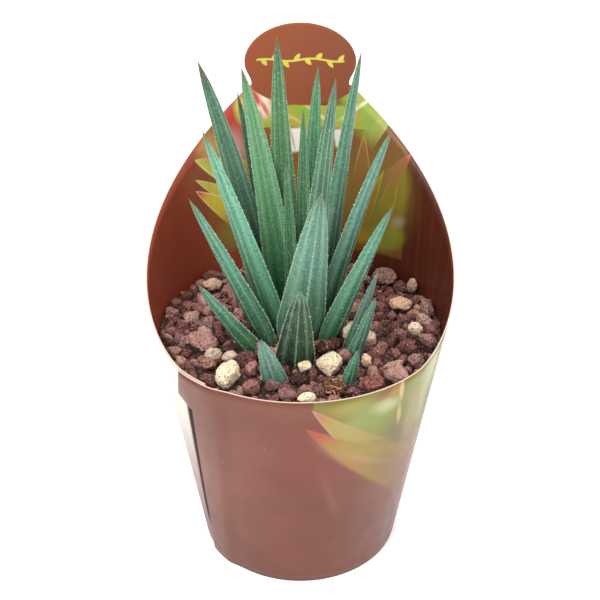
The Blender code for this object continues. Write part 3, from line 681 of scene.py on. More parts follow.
def build_sleeve(outside, inside, edge):
    """The card strip: wall, tongue, shoulder flap and tab, one net each, given its thickness at the end.

    A point of the wall stands at (turn, share of the rim height); its radius is the cone's plus the lap.
    """
    neck = math.degrees(NECK_HALF_WIDTH / cone(NECK_HEIGHT))
    columns = spaced([SEAM_ANGLE, 0.0, ARCH_END, 180.0 - neck], COLUMN_STEP)[:-1]
    tab_columns = 180.0 + neck * np.linspace(-1.0, 1.0, 61)
    rest = spaced([180.0 + neck, *SLIT, 360.0 + SEAM_ANGLE + WHITE_REACH], COLUMN_STEP)[1:]
    columns = np.concatenate([columns, tab_columns, rest])
    low, high = TONGUE_FOOT / FRONT_HEIGHT, TONGUE_TOP / FRONT_HEIGHT
    shares = spaced([0.0, low, high, 1.0], ROW_STEP)
    angle, share = np.meshgrid(columns, shares)
    height = rim_height(np.where(angle > 180.0, angle - 360.0, angle)) * share
    points, strip, tall, faces = [], [], [], []

    def add(turn, offset, height, marked, quads):
        """One net: where its points stand, the strip angle they are marked with, and its quads."""
        faces.append(quads + sum(map(len, points)))
        points.append(around(turn, cone(height) + offset, height).reshape(-1, 3))
        strip.append(marked.ravel())
        tall.append(height.ravel())

    quads = net(len(shares), len(columns))
    row, column = np.divmod(quads[:, 0], len(columns))
    in_slit = (columns[column] > SLIT[0] - NEAR) & (columns[column] < SLIT[1] - NEAR)
    in_slit &= (shares[row] > low - NEAR) & (shares[row] < high - NEAR)
    add(angle + seam_shift(angle, height), lap_offset(angle, height), height, angle, quads[~in_slit])
    # Tongue: dives through the slit and runs on behind the wall.
    rows = shares[(shares > low - NEAR) & (shares < high + NEAR)]
    angle, share = np.meshgrid(np.linspace(SEAM_ANGLE - TONGUE_REACH, SEAM_ANGLE, 25), rows)
    height = FRONT_HEIGHT * share
    height = np.where((share > high - NEAR) & (angle < SEAM_ANGLE - NEAR), height - TONGUE_DROP, height)
    add(angle + seam_shift(angle, height), lap_offset(angle, height), height, angle, net(*angle.shape))
    # Shoulder flap: a pointed ear beside the seam, lapped over the outside.
    share, out = np.meshgrid(shares[shares > high - NEAR], np.linspace(0.0, 1.0, 7), indexing="ij")
    height = FRONT_HEIGHT * share * (1.0 - out) + EAR_HEIGHT * out
    angle = SEAM_ANGLE - FLAP_REACH * out
    offset = lap_offset(SEAM_ANGLE, FRONT_HEIGHT * share) * (1.0 - out) + LAP_STEP * out
    add(angle, offset, height, angle, net(*angle.shape)[:, ::-1])
    # Tab: rows fan from the neck line to its oval outline.
    side = np.linspace(-1.0, 1.0, len(tab_columns))
    share, side = np.meshgrid(np.linspace(0.0, 1.0, 25), side, indexing="ij")
    turn = np.radians(TAB_SPAN * side)
    across = NECK_HALF_WIDTH * side * (1.0 - share) + TAB_HALF_WIDTH * np.sin(turn) * share
    height = NECK_HEIGHT * (1.0 - share) + (TAB_CENTRE_HEIGHT + TAB_HALF_HEIGHT * np.cos(turn)) * share
    angle = 180.0 + np.degrees(across / cone(height))
    angle = np.where(share == 0.0, 180.0 + neck * side, angle)
    add(angle, 0.0, height, angle, net(*angle.shape))
    points, strip, tall = map(np.concatenate, (points, strip, tall))
    made = piece("card_sleeve", points, faces, [outside, inside, edge], {"turn": strip})
    corners = np.zeros(len(made.data.loops), np.int32)
    made.data.loops.foreach_get("vertex_index", corners)
    for layer, centre, facing in (("front", 0.0, 1.0), ("back", 180.0, -1.0)):
        flat = unrolled(strip, tall, centre)[corners] * (facing, 1.0)
        made.data.uv_layers.new(name=layer).data.foreach_set("uv", flat.astype(np.float32).ravel())
    bm = bmesh.new()
    bm.from_mesh(made.data)
    bmesh.ops.remove_doubles(bm, verts=bm.verts, dist=2.0 * NEAR * MM)
    bmesh.ops.dissolve_degenerate(bm, edges=bm.edges, dist=NEAR * MM)
    bm.to_mesh(made.data)
    bm.free()
    shell = made.modifiers.new("card", "SOLIDIFY")
    shell.thickness = CARD * MM
    shell.offset = -1.0
    shell.material_offset = 1
    shell.material_offset_rim = 2
    place(made, "sleeve")


# ---------------------------------------------------------------- leaves

SLICES = 14
CHANNEL, KEEL = 0.35, 1.2     # the upper face's hollow and the keel's height over it, in leaf depths

# Each leaf: middle, planted-end and tip colours, strength of the tubercles, dryness of the tip
LEAVES = {
    "leaf_front": ((102, 144, 126), (72, 112, 86), (84, 122, 92), 1.0, 0.3),
    "leaf_front_short": ((26, 54, 36), (10, 34, 22), (96, 126, 108), 0.7, 0.0),
    "leaf_left_low": ((64, 118, 94), (52, 108, 62), (70, 96, 60), 0.8, 0.8),
    "leaf_left_mid": ((74, 132, 108), (54, 106, 78), (70, 122, 76), 0.7, 0.5),
    "leaf_left_long": ((104, 166, 136), (84, 150, 112), (84, 136, 96), 0.6, 0.7),
    "leaf_right_mid": ((84, 142, 116), (70, 128, 92), (86, 112, 76), 0.9, 0.8),
    "leaf_right_long": ((92, 138, 120), (60, 106, 84), (88, 138, 98), 0.7, 0.9),
    "leaf_right_tall": ((80, 130, 104), (60, 104, 82), (84, 112, 84), 0.3, 0.6),
    "leaf_keeled_tall": ((64, 108, 80), (52, 94, 72), (76, 108, 84), 0.4, 0.4),
    "leaf_back_right": ((88, 144, 104), (56, 96, 70), (96, 140, 110), 0.2, 0.5),
    "leaf_inner_dark": ((64, 112, 70), (42, 82, 56), (80, 116, 78), 0.2, 0.4),
    "leaf_inner_small": ((74, 128, 82), (50, 94, 62), (84, 132, 84), 0.2, 0.3),
    "leaf_back_tall": ((70, 116, 66), (48, 94, 50), (76, 104, 68), 0.2, 0.5),
    "leaf_left_broad": ((106, 156, 108), (78, 136, 84), (112, 142, 98), 0.6, 0.6),
    "leaf_left_slim": ((74, 104, 78), (50, 74, 58), (74, 84, 62), 0.2, 0.9),
    "leaf_left_tall": ((76, 114, 90), (54, 84, 68), (66, 58, 50), 0.3, 1.0),
    "leaf_rear_left": ((78, 124, 88), (52, 92, 64), (86, 116, 80), 0.4, 0.6),
    "leaf_rear_right": ((78, 126, 92), (52, 94, 66), (86, 118, 82), 0.4, 0.6),
    "offset_leaf_tall": ((84, 116, 104), (52, 92, 78), (124, 122, 110), 0.5, 0.8),
    "offset_leaf_low": ((78, 122, 98), (48, 96, 76), (116, 128, 96), 0.6, 0.7),
    "offset_leaf_tiny": ((66, 120, 92), (44, 96, 72), (96, 120, 84), 0.4, 0.4),
    "shoot_leaf": ((118, 152, 140), (88, 128, 108), (112, 116, 104), 0.5, 0.8),
}


def merged(node):
    """A CAD node's points and triangles with its doubled points made one."""
    points, faces = arrays(node.data)
    points, index = np.unique(points, axis=0, return_inverse=True)
    return points.astype(float), index.reshape(-1)[faces]


def leaf_slices(points, faces):
    """Middle of the margins, keel and half width of slices square to the line from tip to planted end.

    A slice's points are its plane's cuts through the edges, its margins are the two farthest apart, and its
    keel is the point farthest from the chord between them.
    """
    tip = points[points[:, 2].argmax()]
    away = np.linalg.norm(points - tip, axis=1)
    foot = points[away > 0.96 * away.max()].mean(0)
    down = (points - tip) @ unit(foot - tip)
    edges = np.concatenate([faces[:, (0, 1)], faces[:, (1, 2)], faces[:, (2, 0)]])
    table = [[*tip, *tip, 0.0]]
    for level in np.linspace(0.0, 0.96 * down.max(), SLICES + 1)[1:]:
        start, end = edges[(down[edges[:, 0]] < level) & (down[edges[:, 1]] >= level)].T
        share = (level - down[start]) / (down[end] - down[start])
        found = points[start] + (points[end] - points[start]) * share[:, None]
        gaps = np.linalg.norm(found[:, None] - found[None], axis=-1)
        one, other = np.unravel_index(gaps.argmax(), gaps.shape)
        middle = (found[one] + found[other]) / 2.0
        chord = unit(found[other] - found[one])
        off = found - middle
        off = off - (off @ chord)[:, None] * chord
        keel = middle + off[np.linalg.norm(off, axis=1).argmax()]
        table.append([*middle, *keel, gaps.max() / 2.0])
    return np.array(table)


def curve(table, share):
    """A smooth curve through a table's evenly spaced rows, at shares from 0 to 1 of its length."""
    spot = np.clip(share, 0.0, 1.0) * (len(table) - 1)
    cell = np.minimum(spot.astype(int), len(table) - 2)
    part = (spot - cell)[..., None]
    rows = np.concatenate([2.0 * table[:1] - table[1:2], table, 2.0 * table[-1:] - table[-2:-1]])
    before, start, end, after = (rows[cell + n] for n in range(4))
    bend = 2.0 * before - 5.0 * start + 4.0 * end - after
    twist = 3.0 * start - before - 3.0 * end + after
    return start + 0.5 * ((end - before) * part + bend * part ** 2 + twist * part ** 3)


def leaf_shape(name):
    """The leaf's surface as a function of share (0 tip, 1 planted end), across (-1 to 1) and lower (0 or 1).

    In leaf depths, the upper face lies at -0.35|a|^1.55 and the lower at -0.35+1.2(1-|a|^1.84) plus a fine
    keel line, measured along the leaf's outward direction; across runs between the two margins.
    """
    table = leaf_slices(*merged(NODES[name]))

    def at(share, across, lower):
        share, across, lower = np.broadcast_arrays(share, across, lower)
        row = curve(table, share)
        steady = curve(table, np.maximum(share, 0.05))
        length = curve(table, np.minimum(share + 0.02, 1.0)) - curve(table, np.maximum(share - 0.02, 0.0))
        outward = unit(steady[..., 3:6] - steady[..., :3])
        side = unit(np.cross(length[..., :3], outward))
        depth = np.linalg.norm(row[..., 3:6] - row[..., :3], axis=-1) / KEEL
        size = np.abs(across)
        ridge = 0.05 * np.exp(-(across / 0.055) ** 2)
        under = -CHANNEL + KEEL * (1.0 - size ** 1.84) + ridge
        over = -CHANNEL * size ** 1.55
        lift = np.where(lower > 0.5, under, over) + CHANNEL
        return row[..., :3] + side * (across * row[..., 6])[..., None] + outward * (lift * depth)[..., None]

    at.length = np.linalg.norm(np.diff(table[:, :3], axis=0), axis=1).sum()
    return at


def outward_faces(points, groups):
    """Turns the faces round if the solid they close has a negative volume."""
    volume = 0.0
    for faces in groups:
        corners = points[faces]
        for last in range(2, faces.shape[1]):
            cross = np.cross(corners[:, last - 1] - corners[:, 0], corners[:, last] - corners[:, 0])
            volume += (cross * corners[:, 0]).sum()
    return groups if volume > 0.0 else [faces[:, ::-1] for faces in groups]


def bumps_on(at, rng, strength):
    """Places, sizes and outward directions of the leaf's pale tubercles and marginal teeth."""
    rows = []
    step = 0.95 * MM / at.length
    share = np.arange(0.05, 0.93, step)
    for across, lower, keep, size in ((1.0, 1, 0.95, 0.20), (-1.0, 1, 0.95, 0.20), (0.0, 1, 0.85, 0.23),
                                      (0.48, 1, 0.55, 0.17), (-0.48, 1, 0.55, 0.17), (0.75, 1, 0.4, 0.14),
                                      (-0.75, 1, 0.4, 0.14), (0.24, 1, 0.3, 0.14), (-0.24, 1, 0.3, 0.14)):
        teeth = abs(across) > 0.9
        wanted = keep if teeth else keep * strength * (0.9 if across == 0.0 else 0.42)
        spot = share + rng.uniform(-0.3, 0.3, len(share)) * step
        kept = rng.random(len(spot)) < wanted
        drift = np.zeros(len(spot)) if teeth else rng.uniform(-0.05, 0.05, len(spot))
        big = size * rng.uniform(0.6, 1.25, len(spot)) * ease((spot - 0.02) / 0.3)
        big = big * (0.75 + 0.3 * strength) * (1.0 if teeth else 0.78)
        rows.append(np.stack([spot, across + drift, np.full(len(spot), lower), big], -1)[kept])
    return np.concatenate(rows)


def build_leaf(name, materials):
    """The leaf as rings of its section from tip to planted end, with its tubercles and teeth joined on."""
    middle, foot, tip, strength, dryness = LEAVES[name]
    at = leaf_shape(name)
    rng = np.random.default_rng(sum(map(ord, name)))
    half = np.sin(np.linspace(-1.0, 1.0, 25) * math.pi / 2.0)
    across = np.concatenate([half, half[::-1][1:-1]])
    lower = np.concatenate([np.zeros(25), np.ones(23)])
    share = np.linspace(0.0, 1.0, 131)[1:] ** 1.15
    grid_share, grid_across = np.meshgrid(share, across, indexing="ij")
    grid_lower = np.broadcast_to(lower, grid_share.shape)
    points = at(grid_share, grid_across, grid_lower).reshape(-1, 3)
    count = len(points)
    ends = np.stack([at(np.array(0.0), 0.0, 0), points[-len(across):].mean(0)])
    points = np.concatenate([points, ends])
    ring = np.arange(len(across))
    last = ring + count - len(across)
    groups = [net(len(share), len(across), closed=True), fan(ring, count, flip=True), fan(last, count + 1)]
    groups = outward_faces(points, groups)
    spots = bumps_on(at, rng, strength)
    spot_share, spot_across, spot_lower, size = spots.T
    centre = at(spot_share, spot_across, spot_lower)
    inner = at(spot_share, 0.0, 0)
    push = unit(centre - inner)
    shape, shape_faces = ball(1)
    spread = rng.uniform(0.8, 1.2, (len(spots), 1, 3))
    knobs = centre[:, None] + (shape[None] * spread + push[:, None] * 0.1) * (size * MM)[:, None, None]
    groups = [*groups, copies(shape_faces, len(spots), len(shape)) + len(points)]
    points = np.concatenate([points, knobs.reshape(-1, 3)])
    grids = ((grid_share, 1.0, spot_share), (grid_across, 0.0, spot_across), (grid_lower, 1.0, spot_lower))
    along, width, face = (np.concatenate([grid.ravel(), (0.0, at_foot), np.repeat(spot, len(shape))])
                          for grid, at_foot, spot in grids)
    tones = [np.array(rgb(*tone)) for tone in (tip, middle, foot)]
    near_tip = ease(along / 0.16)[:, None]
    near_foot = ease((along - 0.35) / 0.5)[:, None]
    colour = (tones[0] * (1.0 - near_tip) + tones[1] * near_tip) * (1.0 - near_foot) + tones[2] * near_foot
    colour[:, :3] *= (0.92, 1.05, 1.03)
    slots = np.concatenate([np.full(len(g), n == len(groups) - 1) for n, g in enumerate(groups)])
    values = {"along": along, "across": width, "lower": face, "dry": np.full(len(along), dryness)}
    made = piece("fine_" + name, points, groups, materials, values, {"tone": colour}, slots)
    place(made, name)
    return points[:count]


def leaf_skin():
    """Leaf skin: the leaf's own green, fine lengthwise lines, mottling, painted shade in the hollows beside
    the keel and painted highlights on the shoulders, pale margins and a dry tip.
    """
    made, g, shader = new_material("leaf_skin", IOR=1.45, Coat_Weight=0.10, Coat_Roughness=0.35,
                                   Subsurface_Weight=0.06, Subsurface_Scale=0.0015)
    shader.inputs["Subsurface Radius"].default_value = (0.4, 1.0, 0.4)
    point = g.place()
    along, across = g.attribute("along"), g.attribute("across")
    lower, dry = g.attribute("lower"), g.attribute("dry")
    tone = g.attribute("tone", "Color")
    size = g.maths("ABSOLUTE", across)
    strip = g.node("CombineXYZ", {"X": g.times(across, 16.0), "Y": g.times(along, 2.2),
                                  "Z": lower}).outputs[0]
    lines = g.noise(strip, 1.0, 2.0, 0.6, 0.2)
    fine = g.noise(point, 1.7, 4.0, 0.65)
    slow = g.noise(point, 0.16, 2.0, 0.5)
    furrow = g.mix(1.0, tone, rgb(150, 178, 158), "MULTIPLY")
    colour = g.mix(g.step(lines, 0.50, 0.36, 0.0, 0.75), tone, furrow)
    colour = g.layers(colour, tone, (
        (lines, 0.54, 0.70, 0.70, 0.35, (190, 216, 196)), (fine, 0.50, 0.66, 0.55, 0.35, (190, 218, 196)),
        (fine, 0.50, 0.34, 0.60, 0.65, (10, 36, 22)), (slow, 0.42, 0.70, 0.35, 0.60, (96, 140, 74))))
    # The keel's light line, painted shade in the hollows beside it and painted highlights on the pale
    # shoulders beyond them
    keel = g.times(g.step(size, 0.07, 0.02), lower)
    painted_hollow_shade = g.times(g.step(size, 0.06, 0.20), g.step(size, 0.50, 0.24))
    shoulder = g.times(g.step(size, 0.50, 0.60), g.step(size, 0.74, 0.62))
    # Waxy scuffs, pale margins and the dry tip
    scuff = g.step(g.noise(point, 0.55, 4.0, 0.7, 0.6), 0.60, 0.72)
    margin = g.step(size, 0.962, 0.988)
    ragged = g.plus(along, g.times(g.minus(fine, 0.5), 0.04))
    tip = g.times(g.step(ragged, 0.085, 0.02), dry)
    for mask, share, tint in ((keel, 0.38, (160, 194, 168)), (painted_hollow_shade, 0.34, (16, 50, 34)),
                              (shoulder, 0.30, (150, 188, 160)), (scuff, 0.32, (184, 208, 192)),
                              (margin, 0.62, (186, 204, 172)), (tip, 0.85, (104, 76, 60))):
        colour = g.mix(g.times(mask, share), colour, rgb(*tint))
    g.feed(shader.inputs["Base Color"], colour)
    g.feed(shader.inputs["Roughness"], g.step(fine, 0.25, 0.75, 0.36, 0.56))
    height = g.plus(g.times(lines, 0.6), g.times(fine, 0.35))
    bump(g, shader, height, 0.16)
    return made


def tubercle_skin():
    """The tubercles and teeth: chalky white with some of the leaf's green showing through."""
    made, g, shader = new_material("tubercle_skin", IOR=1.45, Roughness=0.6)
    tone = g.attribute("tone", "Color")
    chalk = g.noise(g.place(), 1.4, 3.0, 0.6)
    g.feed(shader.inputs["Base Color"], g.mix(g.step(chalk, 0.3, 0.7, 0.35, 0.8), tone, rgb(216, 228, 212)))
    bump(g, shader, chalk, 0.05)
    return made


# ---------------------------------------------------------------- stones and gravel

STONE_TONES = {
    "lava_flat_left": (178, 138, 130), "lava_behind_shoot": (146, 112, 106),
    "lava_left_front": (158, 114, 106), "lava_slab": (164, 118, 114), "lava_front_left": (150, 100, 92),
    "lava_front_mid": (134, 96, 94), "lava_purple_front": (120, 90, 90),
    "lava_pink_centre": (166, 122, 118), "lava_angular_right": (174, 136, 130),
    "lava_red_front": (124, 66, 60), "lava_right_front": (152, 116, 110), "lava_brown_right": (104, 60, 54),
    "lava_big_right": (148, 112, 106), "lava_grey_right": (146, 114, 110),
    "lava_mauve_back": (156, 118, 108), "lava_wall_left": (116, 76, 66), "pumice_oval": (240, 226, 196),
    "pumice_round": (240, 224, 196), "pumice_egg": (242, 222, 196), "pumice_holed": (236, 226, 190),
    "pumice_front": (250, 236, 208), "pumice_tan_left": (204, 164, 144),
    "pumice_tan_right": (214, 172, 146), "pumice_pale_right": (226, 196, 178),
    "pumice_wall": (200, 162, 150), "pumice_small": (226, 190, 166),
}
CHIP_TONES = ((150, 104, 94), (110, 64, 56), (178, 134, 120), (86, 46, 41), (144, 106, 100), (190, 148, 134),
              (130, 84, 74), (96, 55, 48), (226, 204, 178))
CHIP_SHARES = (0.17, 0.16, 0.12, 0.15, 0.12, 0.07, 0.12, 0.07, 0.02)
RED_CHIPS, PALE_CHIP = (1, 3, 7, 6), 8


def chipped(directions, rng, stones, planes=9, low=0.55, high=1.0):
    """Reach of angular stones along directions: each keeps the nearest of its random cutting planes."""
    normals = unit(rng.normal(size=(stones, planes, 3)))
    reach = rng.uniform(low, high, (stones, planes))
    facing = np.einsum("vk,spk->svp", directions, normals)
    cut = np.where(facing > 0.05, reach[:, None] / np.maximum(facing, 0.05), 9.0)
    return np.minimum(cut.min(-1), 1.25)


def build_stone(name, material_used, seed):
    """A named stone: its CAD outline smoothed over a fine ball, chipped by planes and roughened by noise."""
    points, _ = merged(NODES[name])
    low, high = points.min(0), points.max(0)
    centre = (low + high) / 2.0
    away = (points - centre)
    reach = np.linalg.norm(away, axis=1)
    directions, faces = ball(5)
    weight = np.exp(26.0 * (directions @ (away / reach[:, None]).T - 1.0))
    size = (weight @ reach) / weight.sum(1)
    rng = np.random.default_rng(seed)
    pumice = name.startswith("pumice")
    cut = chipped(directions, rng, 1, 15 if pumice else 10, 0.70 if pumice else 0.50, 0.94)[0]
    where = directions * (size / MM)[:, None]
    rough = layered(where, 0.55, 4, seed) * (0.07 if pumice else 0.10)
    creases = np.abs(layered(where, 0.8, 3, seed + 4))
    pits = ease((layered(where, 1.2, 2, seed + 9) - 0.38) / 0.3) * 0.10
    size = size * np.minimum(cut, 1.0) * (1.0 + rough - pits - 0.08 * (1.0 - ease(creases / 0.22)))
    made_points = directions * size[:, None]
    made_points *= (high - low) / (made_points.max(0) - made_points.min(0))
    made_points += centre - (made_points.max(0) + made_points.min(0)) / 2.0
    tone = np.tile(np.array(rgb(*STONE_TONES[name])) * (1.0, 0.95, 0.88, 1.0), (len(made_points), 1))
    made = piece("fine_" + name, made_points, faces, [material_used], None, {"tone": tone})
    place(made, name)
    return np.array([*centre[:2], *(high - low)[:2] / 2.0]) / MM


def stone_skin(name, pumice):
    """Porous rock in the stone's own tone: pits darkened with painted shade, pale dust on its rises and a
    coarse grain.
    """
    made, g, shader = new_material(name, IOR=1.5, Roughness=0.92)
    shader.inputs["Specular IOR Level"].default_value = 0.25
    point = g.place()
    tone = g.attribute("tone", "Color")
    pores = g.group(PORES, Point=point, Scale=0.85 if pumice else 0.95, Amount=0.26 if pumice else 0.34)
    fine = g.noise(point, 2.6, 5.0, 0.7)
    slow = g.noise(point, 0.5, 2.0, 0.5)
    dark = (122, 100, 84) if pumice else (40, 16, 16)
    pale = (255, 250, 238) if pumice else (226, 190, 180)
    warm = (214, 176, 132) if pumice else (122, 52, 46)
    colour = g.layers(tone, tone, ((slow, 0.50, 0.72, 0.40, 0.55, warm), (fine, 0.50, 0.66, 0.80, 0.60, pale),
                                   (fine, 0.48, 0.32, 0.75, 0.60, dark)))
    # Painted shade: the pits are darkened towards the dark tone, for the shade inside the pores.
    colour = g.mix(g.times(pores["Pits"], 0.75 if pumice else 0.6), colour, rgb(*dark))
    g.feed(shader.inputs["Base Color"], colour)
    bump(g, shader, pores["Height"], 0.4)
    return made


def thrown(blocked, leaves, rng):
    """Places and radii of chips on the bed, largest first, clear of each other, the stones and the leaves."""
    tries = ((2.1, 2.9, 500), (1.6, 2.2, 1600), (1.1, 1.6, 3200), (0.6, 1.1, 5200))
    sizes = np.concatenate([rng.uniform(*few) for few in tries])
    limit = cone(GRAVEL_TOP) - CARD - FIT
    turn = rng.uniform(0.0, 2.0 * math.pi, len(sizes))
    reach = np.sqrt(rng.random(len(sizes))) * (limit - sizes)
    spots = np.stack([np.cos(turn) * reach, np.sin(turn) * reach], -1)
    kept = np.zeros((0, 3))
    for spot, size in zip(spots, sizes):
        if len(kept) and (np.hypot(*(kept[:, :2] - spot).T) < (kept[:, 2] + size) * 0.76).any():
            continue
        scaled = (spot - blocked[:, :2]) / (blocked[:, 2:] + size * 0.55)
        if (np.hypot(*scaled.T) < 1.0).any():
            continue
        if (np.hypot(*(leaves - spot).T) < size * 0.9 + 0.15).any():
            continue
        kept = np.concatenate([kept, [[*spot, size]]])
    return kept


def chips(spots, rng, rise):
    """Angular chips at the spots: chipped balls, stretched, turned at random and roughened."""
    directions, faces = ball(2)
    count = len(spots)
    shape = directions[None] * chipped(directions, rng, count)[..., None]
    shape = shape * rng.uniform([0.85, 0.72, 0.6], [1.2, 1.05, 0.95], (count, 3))[:, None]
    axes = np.linalg.qr(rng.normal(size=(count, 3, 3)))[0]
    shape = np.einsum("svk,skj->svj", shape, axes) * spots[:, 2][:, None, None]
    where = np.concatenate([spots[:, :2], rise[:, None]], 1)
    points = (shape + where[:, None]).reshape(-1, 3)
    outward = unit(shape.reshape(-1, 3))
    rough = layered(points, 0.9, 3, 5) * 0.10 * np.repeat(spots[:, 2], len(directions))
    points = points + outward * rough[:, None]
    return points, copies(faces, count, len(directions))


def bed_surface():
    """The bed as a turned solid: foot in the pot, a step over its lip, and a lumpy top of layered noise."""
    turn = np.radians(np.arange(0.0, 360.0, 2.0))
    inner = [(BED_FOOT, 0.02), (BED_FOOT, 0.5), (BED_FOOT, 1.0), (67.5, 1.0), (POT_RIM, 1.0)]
    pot = np.array([(share * (cone(z) - POT_GAP), z) for z, share in inner])
    over = np.array([(cone(z) - CARD - FIT - 0.05, z) for z in (POT_RIM + 0.05, 72.0, 72.3)])
    top = np.linspace(1.0, 0.0, 70)[1:-1] * over[-1, 0]
    profile = np.concatenate([pot, over, np.stack([top, np.full(len(top), BED_LEVEL)], -1)])
    points = np.stack([np.outer(profile[:, 0], np.cos(turn)), np.outer(profile[:, 0], np.sin(turn)),
                       np.repeat(profile[:, 1][:, None], len(turn), 1)], -1)
    on_top = np.arange(len(profile)) >= len(pot) + len(over)
    lumps = layered(points.reshape(-1, 3), 0.42, 3, 3).reshape(points.shape[:2]) * 0.55
    points[..., 2] += np.where(on_top[:, None], lumps, 0.0)
    count = points.shape[0] * len(turn)
    ring = np.arange(len(turn))
    points = np.concatenate([points.reshape(-1, 3), [[0.0, 0.0, BED_FOOT], [0.0, 0.0, BED_LEVEL]]])
    groups = [net(len(profile), len(turn), closed=True), fan(ring, count, flip=True),
              fan(ring + count - len(turn), count + 1)]
    return points, outward_faces(points, groups)


def build_gravel(blocked, leaves, skin):
    """The gravel: a lumpy bed painted dark as the shade between the stones, with its top layer of chips,
    tinted mauve to dark red across the pot.
    """
    rng = np.random.default_rng(12)
    spots = thrown(blocked, leaves, rng)
    rise = BED_LEVEL - 0.1 + rng.uniform(0.0, 0.8, len(spots)) + np.where(spots[:, 2] > 1.6, 0.5, 0.0)
    big = spots[:, 2] > 1.3
    points, groups = bed_surface()
    # Painted shade: the bed under the chips takes a dark tone, for the shade in the gaps between the stones.
    tones = [np.tile(rgb(60, 34, 31), (len(points), 1))]
    collected = [points]
    count = len(points)
    palette = np.array([rgb(*tone) for tone in CHIP_TONES]) * 1.05
    for chosen in (big, ~big):
        extra, faces = chips(spots[chosen], rng, rise[chosen])
        picked = rng.choice(len(CHIP_TONES), len(spots[chosen]), p=CHIP_SHARES)
        reddened = rng.random(len(picked)) < ease((spots[chosen][:, 0] + 2.0) / 24.0) * 0.5
        picked = np.where(reddened & (picked != PALE_CHIP), rng.choice(RED_CHIPS, len(picked)), picked)
        tones.append(np.repeat(palette[picked], len(extra) // len(picked), 0))
        collected.append(extra)
        groups.append(faces + count)
        count += len(extra)
    made = piece("gravel", np.concatenate(collected) * MM, groups, [skin], None,
                 {"tone": np.concatenate(tones)}, smooth=False)
    place(made, "gravel_bed")


# ---------------------------------------------------------------- fibre and peat

def tubes(paths, radii, sides=5):
    """Closed tubes along many paths at once: rings square to each path, tapering to both ends."""
    ahead = unit(np.gradient(paths, axis=1))
    across = unit(np.cross(ahead, np.array([0.31, 0.52, 0.79])))
    over = np.cross(ahead, across)
    turn = np.linspace(0.0, 2.0 * math.pi, sides, endpoint=False)
    taper = np.sin(np.linspace(0.15, 0.85, paths.shape[1]) * math.pi) ** 0.4
    size = radii[:, None] * taper[None]
    ring = across[:, :, None] * np.cos(turn)[:, None] + over[:, :, None] * np.sin(turn)[:, None]
    points = paths[:, :, None] + ring * size[:, :, None, None]
    count, rows = paths.shape[:2]
    each = rows * sides
    start = np.arange(sides)[None] + np.arange(count)[:, None] * each
    caps = np.concatenate([start[:, ::-1], start + each - sides])
    return points.reshape(-1, 3), [copies(net(rows, sides, closed=True), count, each), caps]


def build_lump(name, skin, strands, crumbs, seed):
    """A lump of curled strands over small crumbs, filling its CAD node's ellipsoid."""
    low, high = (np.array(corner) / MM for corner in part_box(name))
    centre, half = (low + high) / 2.0, (high - low) / 2.0
    rng = np.random.default_rng(seed)
    share = np.linspace(-1.0, 1.0, 15)
    start = unit(rng.normal(size=(strands, 3))) * rng.uniform(0.3, 0.85, (strands, 1))
    heading = unit(np.cross(start, rng.normal(size=(strands, 3))))
    lift = unit(np.cross(heading, start))
    curl = rng.uniform(0.12, 0.34, (strands, 1, 1))
    pace = rng.uniform(1.6, 3.4, (strands, 1))
    phase = rng.uniform(0.0, 6.3, (strands, 1))
    reach = rng.uniform(0.3, 0.75, (strands, 1, 1))
    wave = np.sin(share * pace + phase)[..., None] * lift[:, None] * curl
    wave = wave + np.cos(share * pace * 1.3 + phase)[..., None] * start[:, None] * curl * 0.5
    paths = start[:, None] + heading[:, None] * share[None, :, None] * reach + wave
    paths = paths / np.maximum(np.linalg.norm(paths, axis=-1, keepdims=True), 1.0)
    points, groups = tubes(centre + paths * (half - 0.1), rng.uniform(0.14, 0.28, strands))
    tone = np.repeat(rng.random(strands), len(points) // strands)
    shape, faces = ball(2)
    spots = unit(rng.normal(size=(crumbs, 3))) * rng.uniform(0.2, 0.88, (crumbs, 1)) ** 0.5
    size = rng.uniform(0.25, 0.62, crumbs)
    body = shape[None] * chipped(shape, rng, crumbs)[..., None] * size[:, None, None]
    body = body + (centre + spots * (half - 0.5))[:, None]
    crumb_faces = copies(faces, crumbs, len(shape)) + len(points)
    core, core_faces = ball(4)
    core_points = centre + core * half * 0.72 * (1.0 + 0.12 * layered(core * 3.0, 1.3, 3, seed))[:, None]
    core_faces = core_faces + len(points) + crumbs * len(shape)
    # Painted shade: the core ball under the strands takes the darkest tone, for the shade deep inside the
    # lump.
    tone = np.concatenate([tone, np.repeat(rng.random(crumbs) * 0.4, len(shape)), np.full(len(core), 0.05)])
    points = np.concatenate([points, body.reshape(-1, 3), core_points])
    made = piece("fine_" + name, points * MM, [*groups, crumb_faces, core_faces], [skin], {"light": tone})
    place(made, name)
    return np.array([*centre[:2], *half[:2] * 0.9])


def fibre_skin(name, dark, mid, light):
    """Fibre and peat: chocolate brown, each strand its own lightness, with a fine uneven grain."""
    made, g, shader = new_material(name, IOR=1.45, Roughness=0.75)
    point = g.place()
    grain = g.noise(point, 2.2, 4.0, 0.7)
    tone = g.plus(g.attribute("light"), g.times(g.minus(grain, 0.5), 0.7))
    colour = g.ramp(tone, (0.0, dark), (0.55, mid), (1.0, light))
    g.feed(shader.inputs["Base Color"], colour)
    bump(g, shader, grain, 0.12)
    return made


# ---------------------------------------------------------------- pot, root ball and crown

def plain_skin(name, first, second, scale, rough, depth):
    """Two close tones of one stuff mixed by noise, with the same noise as a fine relief."""
    made, g, shader = new_material(name, IOR=1.47)
    point = g.place()
    found = g.group(FLECKS, Point=point, Scale=scale)
    colour = g.mix(found["Drift"], first, g.mix(0.5, first, second))
    colour = g.mix(found["Flecks"], colour, second)
    g.feed(shader.inputs["Base Color"], colour)
    g.feed(shader.inputs["Roughness"], g.step(found["Flecks"], 0.0, 1.0, rough, min(1.0, rough + 0.15)))
    bump(g, shader, found["Flecks"], depth)
    return made


def refinish(name, skin):
    """Gives a CAD node that is shown as it is its finished material."""
    NODES[name].data.materials.clear()
    NODES[name].data.materials.append(skin)


build_sleeve(card_outside(), card_inside(), card_edge())

